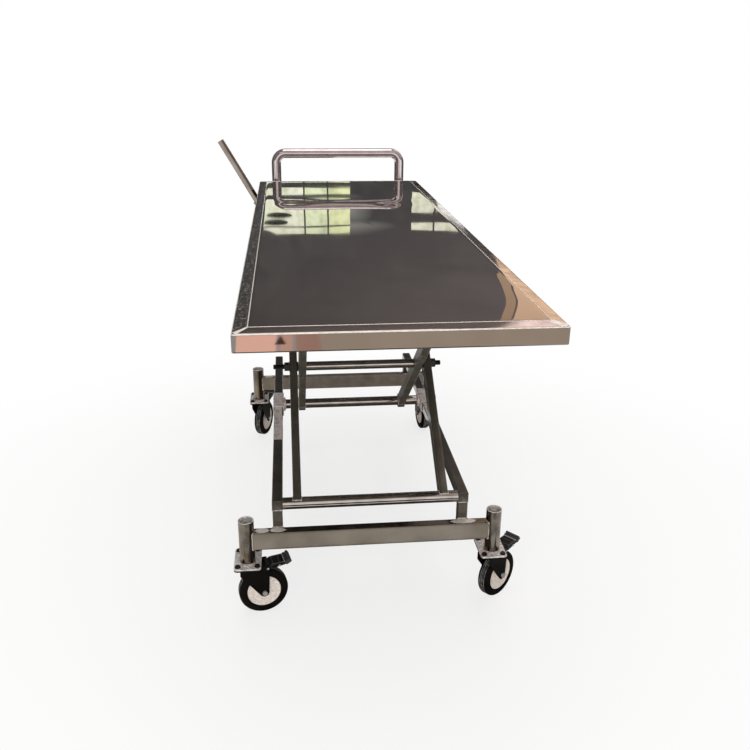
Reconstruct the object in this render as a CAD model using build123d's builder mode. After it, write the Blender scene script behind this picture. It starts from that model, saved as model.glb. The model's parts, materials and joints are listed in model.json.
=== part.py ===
from build123d import *
import os
from math import cos, radians, sin, tan

# A height-adjustable trolley for moving bodies, in millimetres.
# The origin is on the floor under the middle of the outline: +X right, +Y to the push handle, +Z up.

# Table
table_length = 2000.0
table_width = 650.0
sheet = 2.0
rim_width = 30.0
rim_drop = 4.5
apron_height = 38.0
apron_lip = 14.0
bearer_width = 30.0
bearer_height = 40.0
bearer_end_gap = 60.0
crossbar_depth = 30.0
crossbar_height = 20.0
crossbar_count = 5
hanger_height = 89.0

# Push handle
handle_inset = 70.0
handle_rise = 110.0
handle_tube = 38.0
handle_wall = 2.0
handle_bend = 38.0
handle_standoff = 6.0
handle_foot_drop = 2.0
bracket_width = 56.0
bracket_margin = 3.0
bracket_wrap = 10.0

# Base
near_overhang = 560.0
wheelbase = 1200.0
post_outset = 31.0
post_diameter = 44.0
post_wall = 2.5
post_height = 137.0
beam_height = 55.0
beam_depth = 30.0
beam_wall = 2.5
beam_lift = 45.0
rail_inset = 58.0
rail_size = 30.0
rail_wall = 2.5
rail_rise = 69.0
stub_size = 28.0

# Scissor legs
leg_length = 908.0
leg_angle = 38.0
lowered_angle = 9.0
leg_width = 24.0
leg_depth = 40.0
leg_wall = 2.5
leg_gap = 4.0
outer_leg_inset = 57.0
pivot_setback = 12.0
pivot_rod = 20.0
pivot_tube = 34.0
cross_tube_bore = 28.0
eye_diameter = 50.0
centre_rod_diameter = 16.0
centre_boss = 30.0
spacer_diameter = 28.0
nut_flats = 24.0
nut_height = 13.0
washer_diameter = 30.0
washer_height = 3.0
left_thread = 34.0
right_thread = 16.0
sleeve_length = 130.0
sleeve_wall = 3.5
pad_diameter = 54.0
pad_height = 6.0

# Hydraulic ram and hand pump
ram_rod_diameter = 32.0
ram_bore = 46.0
ram_wall = 8.0
piston_length = 24.0
gland_length = 24.0
barrel_end = 14.0
yoke_width = 44.0
yoke_size = 50.0
end_room = 4.0
ram_beam_depth = 40.0
ram_beam_height = 60.0
spigot_diameter = 30.0
spigot_length = 20.0
pump_depth = 58.0
pump_height = 110.0
pump_right = 40.0
ear_depth = 36.0
ear_height = 40.0
lever_plane_gap = 3.0
lever_tube = 25.0
lever_wall = 2.0
lever_lean = 29.8
lever_reach = 379.0
lever_clearance = 5.5
lever_swing = 45.0
pump_drop = 14.0
hub_diameter = 40.0
hub_width = 24.0
lever_pin = 14.0
socket_diameter = 34.0
socket_foot = 30.0
socket_length = 82.0
crank = 40.0
crank_width = 22.0
drive_pin = 10.0
plunger_diameter = 18.0
plunger_length = 70.0
plunger_head = 24.0
plunger_head_height = 28.0
slot_play = 0.8
slot_height = 17.0
valve_stem = 10.0
valve_stem_length = 28.0
valve_head = 28.0
valve_head_height = 14.0
valve_bar = 8.0
valve_bar_length = 60.0
valve_x = -110.0

# Casters
wheel_room = 14.7
caster_setback = 15.0
plate_width = 77.0
plate_depth = 110.0
plate_corner = 8.0
foot_plate = 5.0
caster_plate = 4.0
bolt_spacing_x = 55.0
bolt_spacing_y = 84.0
bolt_diameter = 8.0
bolt_hole = 9.0
bolt_flats = 13.0
bolt_head = 5.3
bolt_nut = 5.0
bolt_tail = 0.4
race_diameter = 58.0
race_height = 6.0
kingpin = 12.0
crown_length = 66.0
crown_height = 4.0
crown_disc = 56.0
crown_disc_height = 3.0
trail = 40.0
wheel_diameter = 144.0
tyre_width = 36.0
tyre_round = 10.0
core_diameter = 99.0
core_width = 33.0
core_recess = 4.0
core_recess_outer = 86.0
hub_outer = 30.0
wheel_hub_width = 40.0
axle = 10.0
axle_flats = 16.0
axle_head = 7.0
axle_tail = 2.0
fork_gap = 42.0
fork_plate = 3.0
fork_back = 28.0
fork_front = 57.0
fork_skirt = 24.0
fork_eye = 28.0
pedal_pin = 8.0
pedal_boss = 12.0
pedal_reach = 50.0
pedal_drop = 25.5
pedal_angle = 11.0
pedal_thickness = 12.0
pedal_neck = 36.0
pedal_length = 74.0
pad_width = 48.0
pedal_pad_length = 18.0
pedal_pad_height = 20.0
pedal_flare = 9.0
pedal_shoulder = 6.0
swivels = {"near_left": 12.0, "near_right": 40.0, "far_left": 70.0, "far_right": 95.0}

# Clearances
weld_gap = 0.2
seat_gap = 0.1
running_gap = 0.05
face_gap = 0.5
slide_gap = 0.5
swivel_gap = 0.3

# Plan positions
handle_reach = handle_standoff + handle_tube
near_edge_y = -(table_length + handle_reach) / 2
far_edge_y = near_edge_y + table_length
table_middle_y = (near_edge_y + far_edge_y) / 2
near_post_y = near_edge_y + near_overhang
far_post_y = near_post_y + wheelbase
post_x = table_width / 2 + post_outset
rail_x = table_width / 2 - rail_inset
rail_inner_x = rail_x - rail_size / 2
rail_outer_x = rail_x + rail_size / 2
outer_leg_x = rail_x - outer_leg_inset
inner_leg_x = outer_leg_x - leg_width - leg_gap
rail_near_y = near_post_y + beam_depth / 2
rail_far_y = far_post_y + beam_depth / 2
pivot_y = rail_near_y + pivot_setback

# Caster heights, stacked up from the floor
axle_z = wheel_diameter / 2
crown_z = wheel_diameter + wheel_room
crown_top_z = crown_z + crown_height + crown_disc_height
race_bottom_z = crown_top_z + swivel_gap
caster_plate_z = race_bottom_z + race_height
caster_height = caster_plate_z + caster_plate

# Base heights
post_foot_z = caster_height + foot_plate
beam_bottom_z = post_foot_z + beam_lift
beam_top_z = beam_bottom_z + beam_height
rail_z = beam_top_z + rail_rise
rail_bottom_z = rail_z - rail_size / 2

# Scissor
leg_run = leg_length * cos(radians(leg_angle))
leg_rise = leg_length * sin(radians(leg_angle))
slide_travel = leg_length * cos(radians(lowered_angle)) - leg_run
slide_y = pivot_y + leg_run
head_z = rail_z + leg_rise
centre_y = pivot_y + leg_run / 2
centre_z = rail_z + leg_rise / 2
sleeve_size = rail_size + 2 * slide_gap + 2 * sleeve_wall
pad_face_x = rail_x - sleeve_size / 2 - pad_height

# Table heights, stacked up from the upper pivots
upper_rail_top_z = head_z + rail_size / 2
bearer_bottom_z = upper_rail_top_z + hanger_height
deck_underside_z = bearer_bottom_z + bearer_height
deck_z = deck_underside_z + sheet
rim_edge_z = deck_z - rim_drop
apron_bottom_z = rim_edge_z - apron_height

SIDES = {"left": -1, "right": 1}

os.makedirs("parts", exist_ok=True)


def save(piece, label):
    """Label a finished piece and write it to its own file."""
    piece.part.label = label
    export_step(piece.part, f"parts/{label}.step")


def facing_x(x, y, z):
    """Plane looking along +X, drawn in Y and Z."""
    return Plane(origin=(x, y, z), x_dir=(0, 1, 0), z_dir=(1, 0, 0))


def facing_y(x, y, z):
    """Plane looking along -Y, drawn in X and Z."""
    return Plane(origin=(x, y, z), x_dir=(1, 0, 0), z_dir=(0, -1, 0))


def facing_up(x, y, z):
    """Level plane, drawn in X and Y."""
    return Plane(origin=(x, y, z))


def box_section(width, height, wall):
    """Draw a rectangular tube's section in the open sketch."""
    Rectangle(width, height)
    Rectangle(width - 2 * wall, height - 2 * wall, mode=Mode.SUBTRACT)


def round_section(outer, bore):
    """Draw a round tube's section in the open sketch."""
    Circle(outer / 2)
    Circle(bore / 2, mode=Mode.SUBTRACT)


def hexagon(flats):
    """Draw a hexagon of a given size across its flats in the open sketch."""
    RegularPolygon(flats / 2, 6, major_radius=False)


# Base: cross beams, coped round the corner posts
for end, beam_y in (("near", near_post_y), ("far", far_post_y)):
    with BuildPart() as beam:
        with BuildSketch(facing_x(-post_x, beam_y, beam_bottom_z + beam_height / 2)):
            box_section(beam_depth, beam_height, beam_wall)
        extrude(amount=2 * post_x)
        with BuildSketch(facing_up(0, beam_y, beam_bottom_z)):
            with Locations((-post_x, 0), (post_x, 0)):
                Circle(post_diameter / 2 + weld_gap)
        extrude(amount=beam_height, mode=Mode.SUBTRACT)
    save(beam, f"{end}_beam")

# Base: open-topped corner posts on their foot plates
corners = {
    "near_left": (-post_x, near_post_y),
    "near_right": (post_x, near_post_y),
    "far_left": (-post_x, far_post_y),
    "far_right": (post_x, far_post_y),
}
kingpins = {name: (x, y + caster_setback) for name, (x, y) in corners.items()}
bolts = [
    (x + i * bolt_spacing_x / 2, y + j * bolt_spacing_y / 2)
    for x, y in kingpins.values()
    for i in (-1, 1)
    for j in (-1, 1)
]

with BuildPart() as corner_posts:
    with BuildSketch(facing_up(0, 0, post_foot_z)):
        with Locations(*corners.values()):
            round_section(post_diameter, post_diameter - 2 * post_wall)
    extrude(amount=post_height)
save(corner_posts, "corner_posts")

with BuildPart() as foot_plates:
    with BuildSketch(facing_up(0, 0, caster_height)):
        with Locations(*kingpins.values()):
            RectangleRounded(plate_width, plate_depth, plate_corner)
        with Locations(*bolts):
            Circle(bolt_hole / 2, mode=Mode.SUBTRACT)
    extrude(amount=foot_plate)
save(foot_plates, "foot_plates")

# Base: slide rails on stubs, behind the near beam and on top of the far one
near_stub_y = rail_near_y + stub_size / 2
with BuildPart() as rail_stubs:
    with BuildSketch(facing_up(0, near_stub_y, beam_bottom_z)):
        with Locations((-rail_x, 0), (rail_x, 0)):
            box_section(stub_size, stub_size, rail_wall)
    extrude(amount=rail_bottom_z - beam_bottom_z)
    with BuildSketch(facing_up(0, far_post_y, beam_top_z)):
        with Locations((-rail_x, 0), (rail_x, 0)):
            box_section(stub_size, stub_size, rail_wall)
    extrude(amount=rail_bottom_z - beam_top_z)
save(rail_stubs, "rail_stubs")

for side, sign in SIDES.items():
    with BuildPart() as rail:
        with BuildSketch(facing_y(sign * rail_x, rail_far_y, rail_z)):
            Rectangle(rail_size, rail_size)
        extrude(amount=rail_far_y - rail_near_y)
        with BuildSketch(facing_y(sign * rail_x, rail_far_y - rail_wall, rail_z)):
            Rectangle(rail_size - 2 * rail_wall, rail_size - 2 * rail_wall)
        extrude(amount=rail_far_y - rail_near_y - 2 * rail_wall, mode=Mode.SUBTRACT)
        with BuildSketch(facing_x(sign * rail_x, pivot_y, rail_z)):
            Circle(pivot_rod / 2 + seat_gap)
        extrude(amount=rail_size, both=True, mode=Mode.SUBTRACT)
    save(rail, f"{side}_rail")

with BuildPart() as base_pivot_rod:
    with BuildSketch(facing_x(0, pivot_y, rail_z)):
        Circle(pivot_rod / 2)
    extrude(amount=rail_outer_x, both=True)
save(base_pivot_rod, "base_pivot_rod")

# Scissor: tubes that turn on the two pivot rods, welded to the legs
for label, z in (("outer_foot_tube", rail_z), ("inner_head_tube", head_z)):
    with BuildPart() as turning_tube:
        with BuildSketch(facing_x(0, pivot_y, z)):
            round_section(pivot_tube, pivot_rod + 2 * running_gap)
        extrude(amount=rail_inner_x - face_gap, both=True)
    save(turning_tube, label)

# Scissor: legs, coped onto a turning tube at one end, with an eye at the other
legs = (
    ("outer", outer_leg_x, rail_z, head_z, seat_gap),
    ("inner", inner_leg_x, head_z, rail_z, running_gap),
)
for kind, leg_x, weld_z, eye_z, rod_gap in legs:
    for side, sign in SIDES.items():
        along = Plane(
            origin=(sign * leg_x, pivot_y, weld_z),
            x_dir=(1, 0, 0),
            z_dir=(0, leg_run, eye_z - weld_z),
        )
        with BuildPart() as leg:
            with BuildSketch(along):
                box_section(leg_width, leg_depth, leg_wall)
            extrude(amount=leg_length)
            with BuildSketch(facing_x(sign * leg_x, slide_y, eye_z)):
                Circle(eye_diameter / 2)
            extrude(amount=leg_width / 2, both=True)
            with BuildSketch(facing_x(sign * leg_x, centre_y, centre_z)):
                Circle(centre_boss / 2)
            extrude(amount=leg_width / 2, both=True)
            with BuildSketch(facing_x(sign * leg_x, slide_y, eye_z)):
                Circle(pivot_tube / 2 + running_gap)
            extrude(amount=leg_width, both=True, mode=Mode.SUBTRACT)
            with BuildSketch(facing_x(sign * leg_x, centre_y, centre_z)):
                Circle(centre_rod_diameter / 2 + rod_gap)
            extrude(amount=leg_width, both=True, mode=Mode.SUBTRACT)
            with BuildSketch(facing_x(sign * leg_x, pivot_y, weld_z)):
                Circle(pivot_tube / 2 + weld_gap)
            extrude(amount=leg_width, both=True, mode=Mode.SUBTRACT)
        save(leg, f"{kind}_{side}_leg")

# Scissor: the centre pivot, a through rod with a spacer tube, washers and nuts
outer_face_x = outer_leg_x + leg_width / 2
nut_face_x = outer_face_x + washer_height + seat_gap
nut_end_x = nut_face_x + nut_height
with BuildPart() as centre_rod:
    with BuildSketch(facing_x(-nut_end_x - left_thread, centre_y, centre_z)):
        Circle(centre_rod_diameter / 2)
    extrude(amount=2 * nut_end_x + left_thread + right_thread)
save(centre_rod, "centre_rod")

with BuildPart() as centre_spacer:
    with BuildSketch(facing_x(0, centre_y, centre_z)):
        round_section(spacer_diameter, centre_rod_diameter + 2 * running_gap)
    extrude(amount=inner_leg_x - leg_width / 2, both=True)
save(centre_spacer, "centre_spacer")

rod_clear = centre_rod_diameter + 2 * seat_gap
thrust_washer = leg_gap - face_gap
with BuildPart() as centre_nuts:
    for sign in SIDES.values():
        with BuildSketch(facing_x(sign * nut_face_x, centre_y, centre_z)):
            hexagon(nut_flats)
            Circle(rod_clear / 2, mode=Mode.SUBTRACT)
        extrude(amount=sign * nut_height)
        with BuildSketch(facing_x(sign * outer_face_x, centre_y, centre_z)):
            round_section(washer_diameter, rod_clear)
        extrude(amount=sign * washer_height)
        with BuildSketch(facing_x(sign * (outer_leg_x - leg_width / 2), centre_y, centre_z)):
            round_section(washer_diameter, rod_clear)
        extrude(amount=-sign * thrust_washer)
save(centre_nuts, "centre_nuts")

# Slides: sleeves round the lower and upper rails, joined by a cross tube that the leg eyes turn on
for level, z in (("lower", rail_z), ("upper", head_z)):
    for side, sign in SIDES.items():
        with BuildPart() as sleeve:
            with BuildSketch(facing_y(sign * rail_x, slide_y + sleeve_length / 2, z)):
                box_section(sleeve_size, sleeve_size, sleeve_wall)
            extrude(amount=sleeve_length)
            with BuildSketch(facing_x(sign * (rail_x - sleeve_size / 2), slide_y, z)):
                Circle(pad_diameter / 2)
                with Locations((0, sleeve_size), (0, -sleeve_size)):
                    Rectangle(pad_diameter, sleeve_size, mode=Mode.SUBTRACT)
            extrude(amount=-sign * pad_height)
        save(sleeve, f"{side}_{level}_sleeve")

for label, z in (("lower_cross_tube", rail_z), ("upper_cross_tube", head_z)):
    with BuildPart() as cross_tube:
        with BuildSketch(facing_x(0, slide_y, z)):
            round_section(pivot_tube, cross_tube_bore)
        extrude(amount=pad_face_x, both=True)
    save(cross_tube, label)

# Table: the deck, one folded sheet with a falling rim, an apron and a return lip
with BuildPart() as deck_tray:
    with BuildSketch(facing_up(0, table_middle_y, rim_edge_z)):
        Rectangle(table_width, table_length)
    with BuildSketch(facing_up(0, table_middle_y, deck_z)):
        Rectangle(table_width - 2 * rim_width, table_length - 2 * rim_width)
    loft()
    with BuildSketch(facing_up(0, table_middle_y, apron_bottom_z)):
        Rectangle(table_width, table_length)
    extrude(amount=apron_height)
    with BuildSketch(facing_up(0, table_middle_y, rim_edge_z - sheet)):
        Rectangle(table_width - 2 * sheet, table_length - 2 * sheet)
    with BuildSketch(facing_up(0, table_middle_y, deck_underside_z)):
        Rectangle(table_width - 2 * rim_width, table_length - 2 * rim_width)
    loft(mode=Mode.SUBTRACT)
    with BuildSketch(facing_up(0, table_middle_y, apron_bottom_z + sheet)):
        Rectangle(table_width - 2 * sheet, table_length - 2 * sheet)
    extrude(amount=apron_height - 2 * sheet, mode=Mode.SUBTRACT)
    with BuildSketch(facing_up(0, table_middle_y, apron_bottom_z)):
        Rectangle(table_width - 2 * apron_lip, table_length - 2 * apron_lip)
    extrude(amount=sheet, mode=Mode.SUBTRACT)
save(deck_tray, "deck_tray")

# Table: two bearers under the deck and the crossbars between them
bearer_length = table_length - 2 * bearer_end_gap
crossbar_span = bearer_length - crossbar_depth
with BuildPart() as deck_frame:
    with BuildSketch(facing_y(0, table_middle_y, deck_underside_z - bearer_height / 2)):
        with Locations((-rail_x, 0), (rail_x, 0)):
            box_section(bearer_width, bearer_height, rail_wall)
    extrude(amount=bearer_length / 2, both=True)
    with BuildSketch(facing_x(0, table_middle_y, deck_underside_z - crossbar_height / 2)):
        with GridLocations(crossbar_span / (crossbar_count - 1), 0, crossbar_count, 1):
            box_section(crossbar_depth, crossbar_height, rail_wall)
    extrude(amount=rail_x - bearer_width / 2 - weld_gap, both=True)
save(deck_frame, "deck_frame")

# Ram: where its pieces lie along Y, from the upper cross tube to the far end
barrel_near_y = slide_y + slide_travel + yoke_size / 2 + end_room
piston_near_y = barrel_near_y + gland_length + end_room
barrel_length = gland_length + end_room + slide_travel + piston_length + end_room + barrel_end
ram_beam_near_y = barrel_near_y + barrel_length
ram_beam_far_y = ram_beam_near_y + ram_beam_depth

# Table: upper rails hung from the bearers, closed by the ram's beam at the far end
with BuildPart() as upper_rails:
    for sign in SIDES.values():
        with BuildSketch(facing_y(sign * rail_x, ram_beam_near_y, head_z)):
            Rectangle(rail_size, rail_size)
        extrude(amount=ram_beam_near_y - rail_near_y)
        with BuildSketch(facing_y(sign * rail_x, ram_beam_near_y, head_z)):
            Rectangle(rail_size - 2 * rail_wall, rail_size - 2 * rail_wall)
        extrude(amount=ram_beam_near_y - rail_near_y - rail_wall, mode=Mode.SUBTRACT)
    with BuildSketch(facing_x(0, pivot_y, head_z)):
        Circle(pivot_rod / 2 + seat_gap)
    extrude(amount=rail_outer_x, both=True, mode=Mode.SUBTRACT)
save(upper_rails, "upper_rails")

hanger_spots = (near_stub_y, slide_y - sleeve_length, ram_beam_near_y - stub_size / 2)
with BuildPart() as upper_rail_hangers:
    with BuildSketch(facing_up(0, 0, upper_rail_top_z)):
        with Locations(*((sign * rail_x, y) for sign in SIDES.values() for y in hanger_spots)):
            box_section(stub_size, stub_size, rail_wall)
    extrude(amount=hanger_height)
save(upper_rail_hangers, "upper_rail_hangers")

with BuildPart() as table_pivot_rod:
    with BuildSketch(facing_x(0, pivot_y, head_z)):
        Circle(pivot_rod / 2)
    extrude(amount=rail_outer_x, both=True)
save(table_pivot_rod, "table_pivot_rod")

# Push handle: a bent tube behind the far apron, on two cradles
handle_x = table_width / 2 - handle_inset
handle_y = far_edge_y + handle_standoff + handle_tube / 2
handle_foot_z = apron_bottom_z - handle_foot_drop
handle_top_z = rim_edge_z + handle_rise
with BuildPart() as push_handle:
    with BuildLine(facing_y(0, handle_y, 0)) as handle_path:
        FilletPolyline(
            (-handle_x, handle_foot_z),
            (-handle_x, handle_top_z),
            (handle_x, handle_top_z),
            (handle_x, handle_foot_z),
            radius=handle_bend,
        )
    with BuildSketch(facing_up(-handle_x, handle_y, handle_foot_z)):
        round_section(handle_tube, handle_tube - 2 * handle_wall)
    sweep()
save(push_handle, "push_handle")

with BuildPart() as handle_brackets:
    with BuildSketch(facing_up(0, far_edge_y, apron_bottom_z + bracket_margin)):
        with Locations((-handle_x, 0), (handle_x, 0)):
            Rectangle(
                bracket_width,
                handle_standoff + bracket_wrap,
                align=(Align.CENTER, Align.MIN),
            )
        with Locations((-handle_x, handle_y - far_edge_y), (handle_x, handle_y - far_edge_y)):
            Circle(handle_tube / 2 + seat_gap, mode=Mode.SUBTRACT)
    extrude(amount=apron_height - 2 * bracket_margin)
save(handle_brackets, "handle_brackets")

# Ram: rod with its piston and the yoke that holds the upper cross tube
with BuildPart() as ram_rod:
    with BuildSketch(facing_x(0, slide_y, head_z)):
        Rectangle(yoke_size, yoke_size)
        Circle(pivot_tube / 2 + seat_gap, mode=Mode.SUBTRACT)
    extrude(amount=yoke_width / 2, both=True)
    with BuildSketch(facing_y(0, piston_near_y, head_z)):
        Circle(ram_rod_diameter / 2)
    extrude(amount=piston_near_y - slide_y - yoke_size / 2)
    with BuildSketch(facing_y(0, piston_near_y + piston_length, head_z)):
        Circle(ram_bore / 2 - running_gap)
    extrude(amount=piston_length)
save(ram_rod, "ram_rod")

with BuildPart() as ram_barrel:
    with BuildSketch(facing_y(0, ram_beam_near_y, head_z)):
        Circle(ram_bore / 2 + ram_wall)
    extrude(amount=barrel_length)
    with BuildSketch(facing_y(0, ram_beam_far_y + spigot_length, head_z)):
        Circle(spigot_diameter / 2)
    extrude(amount=ram_beam_depth + spigot_length)
    with BuildSketch(facing_y(0, ram_beam_near_y - barrel_end, head_z)):
        Circle(ram_bore / 2)
    extrude(amount=barrel_length - barrel_end - gland_length, mode=Mode.SUBTRACT)
    with BuildSketch(facing_y(0, barrel_near_y + gland_length, head_z)):
        Circle(ram_rod_diameter / 2 + running_gap)
    extrude(amount=gland_length, mode=Mode.SUBTRACT)
save(ram_barrel, "ram_barrel")

with BuildPart() as ram_crossbeam:
    with BuildSketch(facing_x(0, ram_beam_near_y + ram_beam_depth / 2, head_z)):
        box_section(ram_beam_depth, ram_beam_height, rail_wall)
    extrude(amount=rail_outer_x, both=True)
    with BuildSketch(facing_y(0, ram_beam_far_y, head_z)):
        Circle(spigot_diameter / 2 + seat_gap)
    extrude(amount=ram_beam_depth, mode=Mode.SUBTRACT)
save(ram_crossbeam, "ram_crossbeam")

# Hand pump: the lever's line clears the left apron, and its pivot lies on that line
lean = radians(lever_lean)
lever_pivot_z = head_z - pump_drop
lever_at_apron_x = -table_width / 2 - lever_clearance - lever_tube / 2 / cos(lean)
lever_pivot_x = lever_at_apron_x + tan(lean) * (apron_bottom_z - lever_pivot_z)
pump_far_y = ram_beam_far_y + pump_depth
lever_y = pump_far_y + lever_plane_gap + hub_width / 2
lever_line = Plane(
    origin=(lever_pivot_x, lever_y, lever_pivot_z),
    x_dir=(0, 1, 0),
    z_dir=(-sin(lean), 0, cos(lean)),
)
half_swing = radians(lever_swing / 2)
drive_x = lever_pivot_x - crank * sin(half_swing)
drive_z = lever_pivot_z - crank * cos(half_swing)
plunger_travel = 2 * crank * sin(half_swing)
plunger_y = ram_beam_far_y + pump_depth / 2
pump_left_x = drive_x + plunger_travel + plunger_head / 2 + end_room
pump_top_z = head_z + spigot_diameter / 2 + (pump_height - spigot_diameter) / 4
ear_left_x = lever_pivot_x - lever_pin

with BuildPart() as pump_body:
    with BuildSketch(facing_y(0, pump_far_y, 0)):
        with Locations((pump_left_x, pump_top_z)):
            Rectangle(pump_right - pump_left_x, pump_height, align=(Align.MIN, Align.MAX))
    extrude(amount=pump_depth)
    with BuildSketch(facing_y(0, ram_beam_far_y + ear_depth, 0)):
        with Locations((ear_left_x, lever_pivot_z)):
            Rectangle(pump_left_x - ear_left_x, ear_height, align=(Align.MIN, Align.CENTER))
    extrude(amount=ear_depth)
    with BuildSketch(facing_y(lever_pivot_x, lever_y + hub_width / 2 + lever_plane_gap, lever_pivot_z)):
        Circle(lever_pin / 2)
    extrude(amount=hub_width + 2 * lever_plane_gap + pump_depth - ear_depth)
    with BuildSketch(facing_x(pump_left_x, plunger_y, drive_z)):
        Circle(plunger_diameter / 2 + running_gap)
    extrude(amount=plunger_length + plunger_travel, mode=Mode.SUBTRACT)
    with BuildSketch(facing_y(0, ram_beam_far_y + spigot_length + end_room, head_z)):
        Circle(spigot_diameter / 2 + seat_gap)
    extrude(amount=spigot_length + end_room, mode=Mode.SUBTRACT)
    with BuildSketch(facing_y(valve_x, pump_far_y, head_z)):
        Circle(valve_stem / 2 + running_gap)
    extrude(amount=valve_stem_length + end_room, mode=Mode.SUBTRACT)
save(pump_body, "pump_body")

with BuildPart() as pump_plunger:
    with BuildSketch(facing_y(drive_x, plunger_y, drive_z)):
        Rectangle(plunger_head, plunger_head_height)
        Rectangle(drive_pin + slot_play, slot_height, mode=Mode.SUBTRACT)
    extrude(amount=plunger_diameter / 2, both=True)
    with BuildSketch(facing_x(drive_x + plunger_head / 2, plunger_y, drive_z)):
        Circle(plunger_diameter / 2)
    extrude(amount=plunger_length)
save(pump_plunger, "pump_plunger")

with BuildPart() as lever_socket:
    with BuildSketch(facing_y(lever_pivot_x, lever_y, lever_pivot_z)):
        Circle(hub_diameter / 2)
    extrude(amount=hub_width / 2, both=True)
    with BuildSketch(facing_y(0, lever_y, 0)):
        with Locations((lever_pivot_x, lever_pivot_z), (drive_x, drive_z)):
            Circle(crank_width / 2)
        make_hull()
    extrude(amount=hub_width / 2, both=True)
    with BuildSketch(lever_line):
        Circle(socket_diameter / 2)
    extrude(amount=socket_foot + socket_length)
    with BuildSketch(lever_line.offset(socket_foot)):
        Circle(lever_tube / 2 + seat_gap)
    extrude(amount=socket_length, mode=Mode.SUBTRACT)
    with BuildSketch(facing_y(lever_pivot_x, lever_y, lever_pivot_z)):
        Circle(lever_pin / 2 + running_gap)
    extrude(amount=socket_diameter, both=True, mode=Mode.SUBTRACT)
    with BuildSketch(facing_y(drive_x, lever_y, drive_z)):
        Circle(drive_pin / 2)
    extrude(amount=lever_y - plunger_y + plunger_diameter / 2)
save(lever_socket, "lever_socket")

with BuildPart() as pump_lever:
    with BuildSketch(lever_line.offset(socket_foot)):
        round_section(lever_tube, lever_tube - 2 * lever_wall)
    extrude(amount=lever_reach - socket_foot)
save(pump_lever, "pump_lever")

with BuildPart() as release_valve:
    with BuildSketch(facing_y(valve_x, pump_far_y + face_gap, head_z)):
        Circle(valve_stem / 2)
    extrude(amount=valve_stem_length)
    with BuildSketch(facing_y(valve_x, pump_far_y + face_gap + valve_head_height, head_z)):
        Circle(valve_head / 2)
    extrude(amount=valve_head_height)
    with BuildSketch(facing_x(valve_x, pump_far_y + face_gap + valve_head_height / 2, head_z)):
        Circle(valve_bar / 2)
    extrude(amount=valve_bar_length / 2, both=True)
save(release_valve, "release_valve")

# Casters: top plates with their race, and the bolts that hold them to the foot plates
with BuildPart() as caster_plates:
    with BuildSketch(facing_up(0, 0, caster_plate_z)):
        with Locations(*kingpins.values()):
            RectangleRounded(plate_width, plate_depth, plate_corner)
        with Locations(*bolts):
            Circle(bolt_hole / 2, mode=Mode.SUBTRACT)
    extrude(amount=caster_plate)
    with BuildSketch(facing_up(0, 0, race_bottom_z)):
        with Locations(*kingpins.values()):
            Circle(race_diameter / 2)
    extrude(amount=race_height)
    with BuildSketch(facing_up(0, 0, race_bottom_z)):
        with Locations(*kingpins.values()):
            Circle(kingpin / 2 + running_gap)
    extrude(amount=race_height + caster_plate, mode=Mode.SUBTRACT)
save(caster_plates, "caster_plates")

with BuildPart() as caster_bolts:
    with BuildSketch(facing_up(0, 0, post_foot_z)):
        with Locations(*bolts):
            hexagon(bolt_flats)
    extrude(amount=bolt_head)
    with BuildSketch(facing_up(0, 0, caster_plate_z - bolt_nut - bolt_tail)):
        with Locations(*bolts):
            Circle(bolt_diameter / 2)
    extrude(amount=post_foot_z - caster_plate_z + bolt_nut + bolt_tail)
    with BuildSketch(facing_up(0, 0, caster_plate_z - bolt_nut)):
        with Locations(*bolts):
            hexagon(bolt_flats)
            Circle(bolt_diameter / 2 + seat_gap, mode=Mode.SUBTRACT)
    extrude(amount=bolt_nut)
save(caster_bolts, "caster_bolts")

# Casters: swivel fork, wheel, axle and brake pedal at each corner
cheek_x = fork_gap / 2
pedal_pivot_z = caster_height - pedal_drop

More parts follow.
